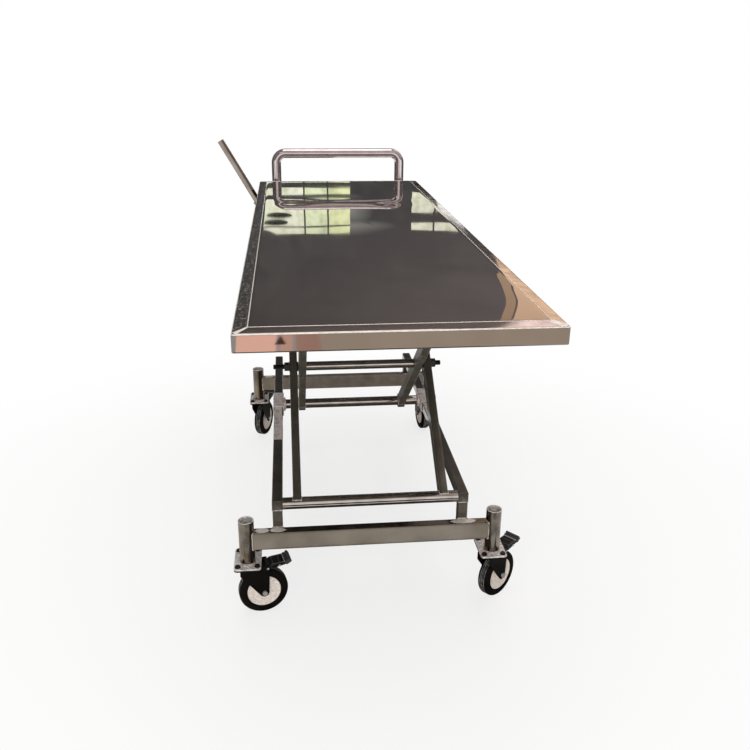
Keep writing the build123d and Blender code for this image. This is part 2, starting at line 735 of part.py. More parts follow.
for corner, (kingpin_x, kingpin_y) in kingpins.items():
    swivel = radians(swivels[corner])
    heading = Vector(cos(swivel), sin(swivel), 0)
    level = Plane(origin=(kingpin_x, kingpin_y, 0), x_dir=heading, z_dir=(0, 0, 1))
    upright = Plane(
        origin=(kingpin_x, kingpin_y, 0),
        x_dir=heading,
        z_dir=(sin(swivel), -cos(swivel), 0),
    )

    with BuildPart() as fork:
        for cheek in (upright.offset(cheek_x), upright.offset(-cheek_x - fork_plate)):
            with BuildSketch(cheek):
                with Locations((trail, axle_z)):
                    Circle(fork_eye / 2)
                with Locations((-fork_back, crown_z + crown_height)):
                    Rectangle(fork_back + fork_front, fork_skirt, align=(Align.MIN, Align.MAX))
                make_hull()
                with Locations((trail, axle_z)):
                    Circle(axle / 2 + seat_gap, mode=Mode.SUBTRACT)
                with Locations((pedal_reach, pedal_pivot_z)):
                    Circle(pedal_pin / 2 + running_gap, mode=Mode.SUBTRACT)
            extrude(amount=fork_plate)
        with BuildSketch(level.offset(crown_z)):
            with Locations((-fork_back, 0)):
                Rectangle(crown_length, fork_gap, align=(Align.MIN, Align.CENTER))
        extrude(amount=crown_height)
        with BuildSketch(level.offset(crown_z + crown_height)):
            Circle(crown_disc / 2)
        extrude(amount=crown_disc_height)
        with BuildSketch(level.offset(crown_top_z)):
            Circle(kingpin / 2)
        extrude(amount=caster_height - face_gap - crown_top_z)
    save(fork, f"{corner}_fork")

    with BuildPart() as tyre:
        with BuildSketch(upright):
            with Locations((trail, axle_z)):
                round_section(wheel_diameter, core_diameter + 2 * seat_gap)
        extrude(amount=tyre_width / 2, both=True)
        fillet(tyre.edges().filter_by(GeomType.CIRCLE).group_by(SortBy.RADIUS)[-1], tyre_round)
    save(tyre, f"{corner}_tyre")

    with BuildPart() as core:
        with BuildSketch(upright):
            with Locations((trail, axle_z)):
                Circle(core_diameter / 2)
        extrude(amount=core_width / 2, both=True)
        for face in (upright.offset(core_width / 2), upright.offset(core_recess - core_width / 2)):
            with BuildSketch(face):
                with Locations((trail, axle_z)):
                    Circle(core_recess_outer / 2)
            extrude(amount=-core_recess, mode=Mode.SUBTRACT)
        with BuildSketch(upright):
            with Locations((trail, axle_z)):
                Circle(hub_outer / 2)
        extrude(amount=wheel_hub_width / 2, both=True)
        with BuildSketch(upright):
            with Locations((trail, axle_z)):
                Circle(axle / 2 + running_gap)
        extrude(amount=wheel_hub_width, both=True, mode=Mode.SUBTRACT)
    save(core, f"{corner}_core")

    outside = cheek_x + fork_plate
    with BuildPart() as axle_bolt:
        with BuildSketch(upright.offset(-outside - axle_head - axle_tail)):
            with Locations((trail, axle_z)):
                Circle(axle / 2)
        extrude(amount=2 * outside + axle_head + axle_tail)
        with BuildSketch(upright.offset(outside)):
            with Locations((trail, axle_z)):
                hexagon(axle_flats)
        extrude(amount=axle_head)
        with BuildSketch(upright.offset(-outside - axle_head)):
            with Locations((trail, axle_z)):
                hexagon(axle_flats)
                Circle(axle / 2 + seat_gap, mode=Mode.SUBTRACT)
        extrude(amount=axle_head)
    save(axle_bolt, f"{corner}_axle")

    pivot = upright.from_local_coords((pedal_reach, pedal_pivot_z, 0))
    rise = radians(pedal_angle)
    up = Vector(0, 0, 1)
    tread = Plane(
        origin=pivot,
        x_dir=heading * cos(rise) + up * sin(rise),
        z_dir=up * cos(rise) - heading * sin(rise),
    )
    with BuildPart() as pedal:
        with BuildSketch(upright):
            with Locations((pedal_reach, pedal_pivot_z)):
                Circle(pedal_boss / 2)
        extrude(amount=fork_gap / 2 - 2 * face_gap, both=True)
        with BuildSketch(upright):
            with Locations((pedal_reach, pedal_pivot_z)):
                Circle(pedal_pin / 2)
        extrude(amount=outside, both=True)
        with BuildSketch(tread):
            Polygon(
                (0, -pedal_neck / 2),
                (pedal_flare, -pedal_neck / 2),
                (pedal_flare + pedal_shoulder, -pad_width / 2),
                (pedal_length - pedal_pad_length, -pad_width / 2),
                (pedal_length - pedal_pad_length, pad_width / 2),
                (pedal_flare + pedal_shoulder, pad_width / 2),
                (pedal_flare, pedal_neck / 2),
                (0, pedal_neck / 2),
                align=None,
            )
        extrude(amount=pedal_thickness / 2, both=True)
        with BuildSketch(tread):
            with Locations((pedal_length - pedal_pad_length, 0)):
                Rectangle(pedal_pad_length, pad_width, align=(Align.MIN, Align.CENTER))
        extrude(amount=pedal_pad_height / 2, both=True)
    save(pedal, f"{corner}_pedal")
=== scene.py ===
"""Looks of a stainless lift trolley: its pieces, their finishes, the studio and the camera.

Every length is in metres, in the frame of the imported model.
"""

import json
import logging
import math
import random
from dataclasses import dataclass, field
from enum import Enum
from typing import Any, Callable, ClassVar, Iterator, Sequence

import bmesh
import bpy
from mathutils import Matrix, Vector

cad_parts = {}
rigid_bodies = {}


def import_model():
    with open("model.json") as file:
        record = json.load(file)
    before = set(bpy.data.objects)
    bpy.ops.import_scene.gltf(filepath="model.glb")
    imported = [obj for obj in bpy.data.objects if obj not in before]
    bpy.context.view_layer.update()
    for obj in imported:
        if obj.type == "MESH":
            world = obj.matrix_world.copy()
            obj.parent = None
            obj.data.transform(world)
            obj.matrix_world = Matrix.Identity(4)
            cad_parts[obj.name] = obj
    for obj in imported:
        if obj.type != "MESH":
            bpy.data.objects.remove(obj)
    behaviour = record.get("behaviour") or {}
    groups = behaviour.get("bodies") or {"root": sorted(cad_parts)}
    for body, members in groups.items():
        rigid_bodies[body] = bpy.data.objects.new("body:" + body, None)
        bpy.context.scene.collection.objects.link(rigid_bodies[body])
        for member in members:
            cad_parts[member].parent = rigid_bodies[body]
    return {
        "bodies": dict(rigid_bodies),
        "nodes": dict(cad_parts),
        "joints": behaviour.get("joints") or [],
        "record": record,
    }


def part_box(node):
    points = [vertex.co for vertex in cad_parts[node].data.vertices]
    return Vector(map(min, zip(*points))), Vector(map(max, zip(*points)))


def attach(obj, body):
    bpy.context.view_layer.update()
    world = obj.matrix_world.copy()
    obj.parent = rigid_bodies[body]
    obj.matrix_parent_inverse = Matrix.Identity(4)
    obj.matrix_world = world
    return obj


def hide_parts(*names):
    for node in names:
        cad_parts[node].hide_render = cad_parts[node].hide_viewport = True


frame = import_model()

LOG = logging.getLogger("trolley")
MM = 0.001
X_AXIS = Vector((1.0, 0.0, 0.0))
Y_AXIS = Vector((0.0, 1.0, 0.0))
Z_AXIS = Vector((0.0, 0.0, 1.0))
SIDES = {"left": -1, "right": 1}
SIGNS = tuple(SIDES.values())
CORNERS = ("near_left", "near_right", "far_left", "far_right")
CORNER_STEPS = 4
LEAST_CORNER = 0.05 * MM
LEAST_POINTS = 8
LIP = 0.5 * MM

Pair = tuple[float, float]
Triple = tuple[float, float, float]
Outline = list[Pair]
Rings = Sequence[Sequence[Vector]]
Reach = float | Callable[[float, float], float]


def linear(colour: str) -> tuple[float, float, float, float]:
    """Turn an sRGB hex colour to linear light.

    Args:
        colour: six hex digits after a hash sign.

    Returns:
        Red, green, blue and an alpha of one.
    """
    values = [int(colour[i : i + 2], 16) / 255 for i in (1, 3, 5)]
    red, green, blue = (v / 12.92 if v <= 0.04045 else ((v + 0.055) / 1.055) ** 2.4 for v in values)
    return red, green, blue, 1.0


def add_node(
    tree: bpy.types.NodeTree,
    kind: str,
    settings: dict[str, Any] | None = None,
    inputs: dict[str | int, Any] | None = None,
) -> bpy.types.NodeOutputs:
    """Add a node with its settings and links.

    Args:
        tree: the tree that gets the node.
        kind: the node's type, without the prefix that all have.
        settings: properties of the node, by name.
        inputs: for each input, by name or place, its value or the socket that feeds it.

    Returns:
        The node's outputs.
    """
    node = tree.nodes.new(f"ShaderNode{kind}")
    for name, value in (settings or {}).items():
        setattr(node, name, value)
    for key, value in (inputs or {}).items():
        if isinstance(value, bpy.types.NodeSocket):
            tree.links.new(value, node.inputs[key])
        else:
            node.inputs[key].default_value = value
    return node.outputs


class Grain(Enum):
    """Which way a finish's fine marks run, as the stretch of their pattern."""

    EVEN = (1.0, 1.0, 1.0)
    ALONG_X = (0.03, 1.0, 1.0)
    ALONG_Y = (1.0, 0.03, 1.0)
    ALONG_Z = (1.0, 1.0, 0.03)


@dataclass(frozen=True)
class Finish:
    """A surface as the eye meets it, with its pattern sizes in millimetres.

    Fields:
        name: the real material and how its surface was made.
        colour, shade: its two colours, which lie in patches.
        patch_mm: size of those patches.
        metallic, ior: what light does at the surface.
        roughness: the smoothest and the roughest patch.
        grain, grain_mm, grain_depth_mm: run, spacing and depth of the fine marks.
        edge: colour of worn edges, if any.
        fleck, fleck_mm: colour and size of flecks, if any.
    """

    # Where a pattern starts to show, where it shows most, and its share there.
    PATCHES: ClassVar[Triple] = (0.36, 0.64, 1.0)
    FLECKS: ClassVar[Triple] = (0.58, 0.68, 1.0)
    WORN_EDGES: ClassVar[Triple] = (0.52, 0.62, 0.8)
    # The patches' range that runs from the smoothest to the roughest.
    GLOSS: ClassVar[Pair] = (0.32, 0.68)
    # How much fine noise each pattern holds.
    PATCH_DETAIL: ClassVar[float] = 3.0
    FLECK_DETAIL: ClassVar[float] = 1.0
    GRAIN_DETAIL: ClassVar[float] = 2.0

    name: str
    colour: str
    shade: str
    patch_mm: float
    metallic: float
    roughness: Pair
    grain: Grain
    grain_mm: float
    grain_depth_mm: float
    ior: float = 1.5
    edge: str = ""
    fleck: str = ""
    fleck_mm: float = 1.0

    def material(self) -> bpy.types.Material:
        """Make the finish's material once, and give the same one afterwards.

        Returns:
            The material.
        """
        made = bpy.data.materials.get(self.name)
        if made is None:
            made = bpy.data.materials.new(self.name)
            made.use_nodes = True
            made.diffuse_color = linear(self.colour)
            self.dress(made.node_tree)
        return made

    def dress(self, tree: bpy.types.NodeTree) -> None:
        """Lay out the shader.

        Args:
            tree: the material's own tree.
        """
        tree.nodes.clear()
        place = add_node(tree, "TexCoord")["Object"]
        run = add_node(tree, "Mapping", inputs={"Vector": place, "Scale": self.grain.value})["Vector"]
        patterns = {
            "patches": (place, self.patch_mm, self.PATCH_DETAIL),
            "marks": (run, self.grain_mm, self.GRAIN_DETAIL),
        }
        if self.fleck:
            patterns["flecks"] = (place, self.fleck_mm, self.FLECK_DETAIL)
        noise = {}
        for name, (spot, size_mm, detail) in patterns.items():
            inputs = {"Vector": spot, "Scale": 1 / (size_mm * MM), "Detail": detail}
            noise[name] = add_node(tree, "TexNoise", inputs=inputs)["Fac"]
        layers = [(noise["patches"], self.PATCHES, self.shade)]
        if self.fleck:
            layers.append((noise["flecks"], self.FLECKS, self.fleck))
        if self.edge:
            ridge = add_node(tree, "NewGeometry")["Pointiness"]
            layers.append((ridge, self.WORN_EDGES, self.edge))
        colour: Any = linear(self.colour)
        for value, (start, full, most), tint in layers:
            span = {"Value": value, "From Min": start, "From Max": full, "To Max": most}
            share = add_node(tree, "MapRange", inputs=span)["Result"]
            colour = add_node(tree, "Mix", {"data_type": "RGBA"}, {0: share, 6: colour, 7: linear(tint)})[2]
        start, full = self.GLOSS
        smooth, rough = self.roughness
        span = {"Value": noise["patches"], "From Min": start, "From Max": full}
        gloss = add_node(tree, "MapRange", inputs={**span, "To Min": smooth, "To Max": rough})["Result"]
        bump = {"Height": noise["marks"], "Distance": self.grain_depth_mm * MM, "Strength": 1.0}
        relief = add_node(tree, "Bump", inputs=bump)["Normal"]
        look = {"Base Color": colour, "Metallic": self.metallic, "Roughness": gloss, "IOR": self.ior}
        surface = add_node(tree, "BsdfPrincipled", inputs={**look, "Normal": relief})["BSDF"]
        add_node(tree, "OutputMaterial", inputs={"Surface": surface})


# A pixel of the render covers about 2 mm. Buffing, linishing and draw marks really lie 0.05 to 0.2 mm
# apart, and mould, enamel and plating textures 0.1 to 0.3 mm: too fine to show, so the grain of those
# finishes is drawn as coarse as it needs to be to show, 0.7 to 5 mm. The die's mottle, the grinder's
# swirls, orange peel and weld ripples have their real size.

# Mirror-polished stainless sheet: a dark, clear mirror with a faint haze where hands have wiped it.
POLISHED_SHEET = Finish(
    "stainless_sheet_mirror_polished", "#928b86", "#89837f", 160.0, 1.0, (0.012, 0.04),
    Grain.ALONG_Y, 3.0, 0.0005,
)
# Sheet folded on a press and polished less: mottled by the die, so that reflections break up.
FOLDED_SHEET = Finish(
    "stainless_sheet_folded", "#b0a69d", "#9a8f86", 30.0, 1.0, (0.05, 0.16),
    Grain.EVEN, 9.0, 0.03,
)
# The same fold on the rim's left side, in darker colours for the darker room its polish shows there: painted
# shade, with white flecks that are painted glints.
SCUFFED_SHEET = Finish(
    "stainless_sheet_folded_scuffed", "#6e6963", "#4d4945", 22.0, 0.82, (0.06, 0.22),
    Grain.ALONG_Y, 5.0, 0.05, fleck="#d9d6d1", fleck_mm=6.0,
)
# The sheet's underside, as it left the mill: a soft grey that shows no clear reflection.
MILL_SHEET = Finish(
    "stainless_sheet_mill", "#8c8780", "#7d7871", 120.0, 0.8, (0.32, 0.44),
    Grain.ALONG_Y, 2.0, 0.002,
)
# Stainless tube linished along its length: a pale pinkish body under crisp streaks of light.
BUFFED_HANDLE = Finish(
    "stainless_tube_linished_pale", "#e4dad9", "#d6cccc", 45.0, 0.86, (0.03, 0.07),
    Grain.EVEN, 2.5, 0.001,
)
# Polished stainless tube: an even satin grey, with fine buffing marks along its length.
POLISHED_TUBE = Finish(
    "stainless_tube_buffed", "#8c8478", "#7f776b", 110.0, 1.0, (0.13, 0.19),
    Grain.ALONG_X, 3.0, 0.006,
)
# The same tube on the posts, in darker colours for the darker ground their polish shows: painted shade, with
# faint upright streaks.
POST_TUBE = Finish(
    "stainless_tube_buffed_dark", "#827b71", "#615b53", 38.0, 1.0, (0.12, 0.24),
    Grain.ALONG_Z, 3.0, 0.004,
)
# Drawn stainless box tube: darker and greyer, with draw lines along the length.
DRAWN_TUBE = Finish(
    "stainless_tube_drawn", "#706b61", "#5a554c", 70.0, 0.75, (0.10, 0.24),
    Grain.EVEN, 4.0, 0.003,
)
# The same tube on the far beam, paler and less metallic than on the near beam, so that it looks lit where its
# polish would show only dark surroundings: painted light. An even, duller grey that shows no clear
# reflection.
PICKLED_TUBE = Finish(
    "stainless_tube_pickled", "#968d81", "#7d756a", 60.0, 0.35, (0.28, 0.42),
    Grain.EVEN, 4.0, 0.003,
)
# The drawn tube on the inner legs, paler and less metallic than on the outer legs, so that they look lit
# where their polish would show only dark ground: painted light. A dark grey with a soft, even sheen.
OILED_TUBE = Finish(
    "stainless_tube_drawn_oiled", "#76746a", "#636055", 60.0, 0.5, (0.26, 0.40),
    Grain.EVEN, 4.0, 0.003,
)
# The lever's tube, drawn bright: a mid grey between hard dark and white streaks.
LEVER_TUBE = Finish(
    "stainless_tube_drawn_bright", "#a39b91", "#8f877e", 40.0, 1.0, (0.04, 0.08),
    Grain.EVEN, 3.0, 0.001,
)
# Cross tubes, turned bright: hard streaks of light along a dark body.
TURNED_TUBE = Finish(
    "stainless_tube_turned", "#cbc8c2", "#b2afa9", 50.0, 1.0, (0.04, 0.08),
    Grain.EVEN, 3.0, 0.001,
)
# Sleeves cut from thicker plate and linished: the brightest, with pinkish heat tint.
POLISHED_SLEEVE = Finish(
    "stainless_sleeve_linished", "#f2e9e4", "#b8a79f", 15.0, 0.25, (0.22, 0.4),
    Grain.EVEN, 1.6, 0.006,
)
# Plate cut, welded and ground: bright, with brown heat marks and a grinder's swirls. The same pale finish
# lines the posts' bores, so that their insides look lit: painted light.
WELDED_PLATE = Finish(
    "stainless_plate_heat_marked", "#fffaf6", "#655a52", 8.0, 0.24, (0.2, 0.42),
    Grain.EVEN, 6.0, 0.10, fleck="#fffaf6", fleck_mm=8.0,
)
# Ground steel rod: hard, clean and close to chrome.
GROUND_ROD = Finish(
    "steel_rod_ground", "#b5b3b0", "#a09d98", 30.0, 1.0, (0.08, 0.16),
    Grain.ALONG_X, 0.8, 0.001,
)
# Screwed rod with an oiled black oxide: nearly black, with a dull sheen on the crests.
BLACK_ROD = Finish(
    "steel_rod_black_oxide", "#2a2826", "#1c1b1a", 8.0, 0.8, (0.34, 0.5),
    Grain.EVEN, 0.9, 0.01, edge="#5a554f",
)
# Zinc-plated fasteners: bright, slightly cloudy crystals.
ZINC_FASTENER = Finish(
    "steel_zinc_plated", "#dbd9d4", "#b3b0aa", 4.0, 0.5, (0.2, 0.36),
    Grain.EVEN, 0.7, 0.006,
)
# Gun-metal paint, sprayed on the ram and its fittings: a low gloss with orange peel.
RAM_PAINT = Finish(
    "steel_sprayed_grey", "#4b4e50", "#43464a", 60.0, 0.0, (0.32, 0.44),
    Grain.EVEN, 2.2, 0.03, edge="#7c7d7c",
)
# Sand-cast pump block, painted: a pebbled skin that breaks the light up.
CAST_PUMP = Finish(
    "iron_sand_cast_painted", "#3c4043", "#33373a", 40.0, 0.0, (0.45, 0.6),
    Grain.EVEN, 1.8, 0.12, edge="#6d6f70",
)
# Pressed steel with black stove enamel: nearly black with a low sheen, greyer on its edges.
BLACK_STEEL = Finish(
    "steel_pressed_black_enamel", "#080807", "#0d0c0c", 25.0, 0.0, (0.38, 0.55),
    Grain.EVEN, 1.4, 0.01, ior=1.2, edge="#121110",
)
# Moulded rubber: matt black, greyed by dust from the floor.
BLACK_RUBBER = Finish(
    "rubber_moulded", "#090808", "#100f0e", 18.0, 0.0, (0.6, 0.8),
    Grain.EVEN, 0.9, 0.02, ior=1.2, edge="#1a1918",
)
# Grey bands along the tyre's running edges, a dry grey film: dust, and a painted sheen where the tread's ribs
# catch light.
DUSTY_RUBBER = Finish(
    "rubber_moulded_dusty", "#8f8d8a", "#454442", 12.0, 0.0, (0.7, 0.85),
    Grain.EVEN, 1.1, 0.03, ior=1.35,
)
# Moulded nylon wheel centre: off-white with a pink cast, speckled with grey dirt.
PALE_NYLON = Finish(
    "nylon_moulded_pale", "#f0e6dc", "#dfd3c8", 9.0, 0.0, (0.45, 0.6),
    Grain.EVEN, 1.2, 0.03, fleck="#a0968c", fleck_mm=2.4,
)
# Moulded nylon pedal: black with a fine spark-eroded texture.
BLACK_NYLON = Finish(
    "nylon_moulded_black", "#0d0d0d", "#151515", 12.0, 0.0, (0.42, 0.58),
    Grain.EVEN, 0.8, 0.02, ior=1.28, edge="#5c5a57",
)
# Weld metal, brushed bright after welding: rippled, with a straw and pink heat tint.
WELD_METAL = Finish(
    "stainless_weld_brushed", "#efe6de", "#7d7066", 6.0, 0.5, (0.22, 0.42),
    Grain.EVEN, 0.8, 0.02,
)
# Weld ground flush: nearly white, because its scratches throw light all ways. The same near-white is laid
# along the rim's folds as a painted highlight, and on the posts' ground top edges partly as one.
GROUND_WELD = Finish(
    "stainless_weld_ground", "#ece6e0", "#d8cdc3", 8.0, 0.35, (0.35, 0.55),
    Grain.EVEN, 0.9, 0.01,
)


@dataclass(frozen=True)
class Basis:
    """A place to draw from: an origin, two directions across and one along."""

    origin: Vector
    across: Vector
    up: Vector
    along: Vector

    @classmethod
    def at(cls, origin: Sequence[float], along: Vector, across: Vector) -> "Basis":
        """Make a basis from a point and two directions.

        Args:
            origin: the point.
            along: the direction of growth.
            across: a direction across it, squared up here.

        Returns:
            The basis, with its third direction to make it right-handed.
        """
        ahead = along.normalized()
        side = (across - ahead * across.dot(ahead)).normalized()
        return cls(Vector(origin), side, ahead.cross(side), ahead)

    def point(self, u: float, v: float, w: float) -> Vector:
        """Give the point at these lengths across, up and along."""
        return self.origin + self.across * u + self.up * v + self.along * w


class Profile(Enum):
    """Kinds of bar section."""

    ROUND = "round"
    BOX = "box"
    HEX = "hexagon"


def rounded(half_u: float, half_v: float, radius: float, sides: tuple[int, int]) -> Outline:
    """Give a rounded rectangle's points, anticlockwise.

    Args:
        half_u: half its width.
        half_v: half its height.
        radius: its corner radius.
        sides: how many lengths a side across and a side up are cut into.

    Returns:
        Points round four corners and along the sides between them.
    """
    flat_u, flat_v = half_u - radius, half_v - radius
    arcs = []
    for i, (a, b) in enumerate(((1, 1), (-1, 1), (-1, -1), (1, -1))):
        turns = [math.pi / 2 * (i + k / CORNER_STEPS) for k in range(CORNER_STEPS + 1)]
        arcs.append([(a * flat_u + radius * math.cos(t), b * flat_v + radius * math.sin(t)) for t in turns])
    points: Outline = []
    for i, arc in enumerate(arcs):
        points.extend(arc)
        (u, v), (next_u, next_v) = arc[-1], arcs[(i + 1) % 4][0]
        count = sides[i % 2]
        for k in range(1, count):
            points.append((u + (next_u - u) * k / count, v + (next_v - v) * k / count))
    return points


def mirrored(profile: Outline) -> Outline:
    """Give a turned profile and its mirror image as one loop."""
    return profile + [(radius, -w) for radius, w in reversed(profile)]


@dataclass(frozen=True)
class Section:
    """A bar's section; for a hexagon, the width is across its flats."""

    kind: Profile
    width: float
    height: float = 0.0
    corner: float = 0.0
    divide: int = 1
    steps: int = 48

    def outline(self, inset: float = 0.0) -> Outline:
        """Give the section's points, anticlockwise.

        Args:
            inset: how far inside the section they lie.

        Returns:
            The same number of points for every inset.
        """
        if self.kind is Profile.BOX:
            radius = max(self.corner - inset, LEAST_CORNER)
            sides = (self.divide, self.divide)
            return rounded(self.width / 2 - inset, self.height / 2 - inset, radius, sides)
        points = []
        for i in range(self.steps):
            angle = math.tau * i / self.steps
            radius = self.width / 2 - inset
            if self.kind is Profile.HEX:
                radius /= math.cos(angle % (math.pi / 3) - math.pi / 6)
            points.append((radius * math.cos(angle), radius * math.sin(angle)))
        return points


def tube(diameter: float) -> Section:
    """Give a round section of this diameter."""
    return Section(Profile.ROUND, diameter)


def boxed(width: float, height: float, corner: float, divide: int = 1) -> Section:
    """Give a rectangular section with rounded corners."""
    return Section(Profile.BOX, width, height, corner, divide)


def reached(reach: Reach, u: float, v: float) -> float:
    """Give a bar's end at a point of its section, whether it is square or shaped."""
    return reach(u, v) if callable(reach) else reach


def evened(path: Sequence[Vector], step: float, closed: bool) -> list[Vector]:
    """Space points evenly along a path.

    Args:
        path: the path's corners.
        step: about how far apart the points lie.
        closed: whether the path comes back to its start.

    Returns:
        The points.
    """
    corners = [*path, path[0]] if closed else list(path)
    lengths = [(b - a).length for a, b in zip(corners, corners[1:])]
    total = sum(lengths)
    count = max(round(total / step), LEAST_POINTS)
    places = [total * i / (count if closed else count - 1) for i in range(count)]
    points: list[Vector] = []
    i, passed = 0, 0.0
    for at in places:
        while i < len(lengths) - 1 and at > passed + lengths[i]:
            passed += lengths[i]
            i += 1
        share = min((at - passed) / lengths[i], 1.0) if lengths[i] else 0.0
        points.append(corners[i].lerp(corners[i + 1], share))
    return points


class Shape:
    """Points and faces of one piece while it is being made."""

    BEAD_STEP = 1.3 * MM
    BEAD_SIDES = 10
    # A bead's ripples: their spacing in steps, their height and their unevenness as shares of its size.
    RIPPLE_STEPS = 3.2
    RIPPLE = 0.13
    UNEVEN = 0.07
    # A nut's chamfer as a share of its size, and a thread's depth as a share of its pitch.
    CHAMFER_START = 0.485
    CHAMFER_SLOPE = 0.55
    THREAD_SIDES = 24
    THREAD_STEPS = 8
    THREAD_DEPTH = 0.55
    THREAD_EASE = 1.5 * MM
    # How far apart points may lie and still be one.
    SAME_POINT = 0.004 * MM
    SAME_PLANE = math.radians(0.6)
    SHARP_EDGE = math.radians(34)
    SMOOTH_LIMIT = math.radians(48)

    def __init__(self) -> None:
        """Start with nothing."""
        self.points: list[Vector] = []
        self.faces: list[tuple[int, ...]] = []
        self.from_cad = False

    def skin(
        self, rings: Rings, looped: bool = False, capped: bool = False, rows: bool = False
    ) -> "Shape":
        """Join rings of points by faces.

        Args:
            rings: rings, each with the same number of points.
            looped: whether the last ring joins the first.
            capped: whether a face closes each end.
            rows: whether the rings are rows, whose last point doesn't join the first.

        Returns:
            This shape.
        """
        base, count = len(self.points), len(rings[0])
        for ring in rings:
            self.points.extend(ring)
        for i in range(len(rings) if looped else len(rings) - 1):
            low = base + i * count
            high = base + (i + 1) % len(rings) * count
            for j in range(count - 1 if rows else count):
                k = (j + 1) % count
                self.faces.append((low + j, low + k, high + k, high + j))
        if capped:
            last = base + (len(rings) - 1) * count
            self.faces.append(tuple(reversed(range(base, base + count))))
            self.faces.append(tuple(range(last, last + count)))
        return self

    def bar(
        self, basis: Basis, section: Section, start: Reach, end: Reach, wall: float = 0.0, lip: float = LIP
    ) -> "Shape":
        """Add a straight bar or tube with eased ends.

        Args:
            basis: where it starts and which way it runs.
            section: its outside.
            start: where it begins along the basis, one length or a length for each point.
            end: where it stops.
            wall: its wall, or nought for a solid bar.
            lip: how far its ends are eased.

        Returns:
            This shape.
        """
        ease = ((lip, start, 0.0), (0.0, start, lip), (0.0, end, -lip), (lip, end, 0.0))
        bore = ((wall - lip, end, 0.0), (wall, end, -lip), (wall, start, lip), (wall - lip, start, 0.0))
        rings = [
            [basis.point(u, v, reached(reach, u, v) + shift) for u, v in section.outline(inset)]
            for inset, reach, shift in (ease + bore if wall else ease)
        ]
        return self.skin(rings, looped=bool(wall), capped=not wall)

    def turned(self, basis: Basis, profile: Outline, looped: bool = True, steps: int = 64) -> "Shape":
        """Add a turned body.

        Args:
            basis: its axis.
            profile: pairs of radius and length along the axis.
            looped: whether the profile is a closed loop, or ends in flat faces.
            steps: points round it.

        Returns:
            This shape.
        """
        rings = []
        for radius, w in profile:
            outline = Section(Profile.ROUND, 2 * radius, steps=steps).outline()
            rings.append([basis.point(u, v, w) for u, v in outline])
        return self.skin(rings, looped=looped, capped=not looped)

    def plate(self, basis: Basis, outline: Outline, low: float, high: float) -> "Shape":
        """Add a flat plate of this outline, between two places along its basis."""
        return self.skin([[basis.point(u, v, w) for u, v in outline] for w in (low, high)], capped=True)

    def swept(self, path: Sequence[Vector], across: Vector, section: Section, wall: float) -> "Shape":
        """Add a bent tube.

        Args:
            path: points along its middle, in one plane.
            across: the direction square to that plane.
            section: its outside.
            wall: its wall.

        Returns:
            This shape.
        """
        outer, inner = [], []
        for i, point in enumerate(path):
            ahead = path[min(i + 1, len(path) - 1)] - path[max(i - 1, 0)]
            basis = Basis.at(point, ahead, across)
            outer.append([basis.point(u, v, 0.0) for u, v in section.outline()])
            inner.append([basis.point(u, v, 0.0) for u, v in section.outline(wall)])
        return self.skin([*outer, *reversed(inner)], looped=True)

    def bead(
        self, path: Sequence[Vector], radius: float, draw: random.Random, closed: bool = True
    ) -> "Shape":
        """Lay a rippled weld bead.

        Args:
            path: its line.
            radius: its size.
            draw: the source of its unevenness.
            closed: whether it comes back to its start, or tapers at its ends.

        Returns:
            This shape.
        """
        points = evened(path, self.BEAD_STEP, closed)
        count = len(points)
        side = Vector((0.31, 0.52, 0.79))
        rings = []
        for i, point in enumerate(points):
            ahead = points[(i + 1) % count] if closed else points[min(i + 1, count - 1)]
            behind = points[i - 1] if closed or i else points[0]
            basis = Basis.at(point, ahead - behind, side)
            side = basis.across
            swell = 1.0 + self.RIPPLE * math.sin(math.tau * i / self.RIPPLE_STEPS)
            swell += draw.uniform(-self.UNEVEN, self.UNEVEN)
            if not closed:
                swell *= min(1.0, (min(i, count - 1 - i) + 0.6) / 2.6)
            turns = [math.tau * k / self.BEAD_SIDES for k in range(self.BEAD_SIDES)]
            size = radius * swell
            rings.append([basis.point(size * math.cos(t), size * math.sin(t), 0.0) for t in turns])
        return self.skin(rings, looped=closed, capped=not closed)

    def seam(
        self, basis: Basis, section: Section, reach: Reach, radius: float, draw: random.Random
    ) -> "Shape":
        """Lay a weld bead of this size round the end of a bar."""
        path = [basis.point(u, v, reached(reach, u, v)) for u, v in section.outline()]
        return self.bead(path, radius, draw)

    def thread(self, basis: Basis, diameter: float, pitch: float, start: float, end: float) -> "Shape":
        """Add a screwed length of rod.

        Args:
            basis: its axis.
            diameter: over the crests.
            pitch: from crest to crest.
            start: where it begins along the axis.
            end: where it stops.

        Returns:
            This shape.
        """
        sides, depth = self.THREAD_SIDES, self.THREAD_DEPTH * pitch
        count = round((end - start) / pitch * self.THREAD_STEPS)
        rings = []
        for i in range(count + 1):
            w = start + (end - start) * i / count
            room = min(w - start, end - w)
            ring = []
            for k in range(sides):
                angle = math.tau * k / sides
                phase = (w / pitch - k / sides) % 1.0
                radius = diameter / 2 - depth * abs(2 * phase - 1)
                radius -= max(self.THREAD_EASE - room, 0.0) * 0.6
                ring.append(basis.point(radius * math.cos(angle), radius * math.sin(angle), w))
            rings.append(ring)
        return self.skin(rings, capped=True)

    def nut(self, basis: Basis, flats: float, start: float, end: float) -> "Shape":
        """Add a hexagon nut or bolt head whose corners are chamfered at both faces.

        Args:
            basis: its axis.
            flats: its size across the flats.
            start: where it begins along the axis.
            end: where it stops.

        Returns:
            This shape.
        """

        def face(at: float, way: int) -> Reach:
            """Give a face whose corners fall back from a circle that it just holds."""
            round_face = flats * self.CHAMFER_START
            return lambda u, v: at + way * max(math.hypot(u, v) - round_face, 0.0) * self.CHAMFER_SLOPE

        section = Section(Profile.HEX, flats)
        return self.bar(basis, section, face(start, 1), face(end, -1), lip=0.15 * MM)

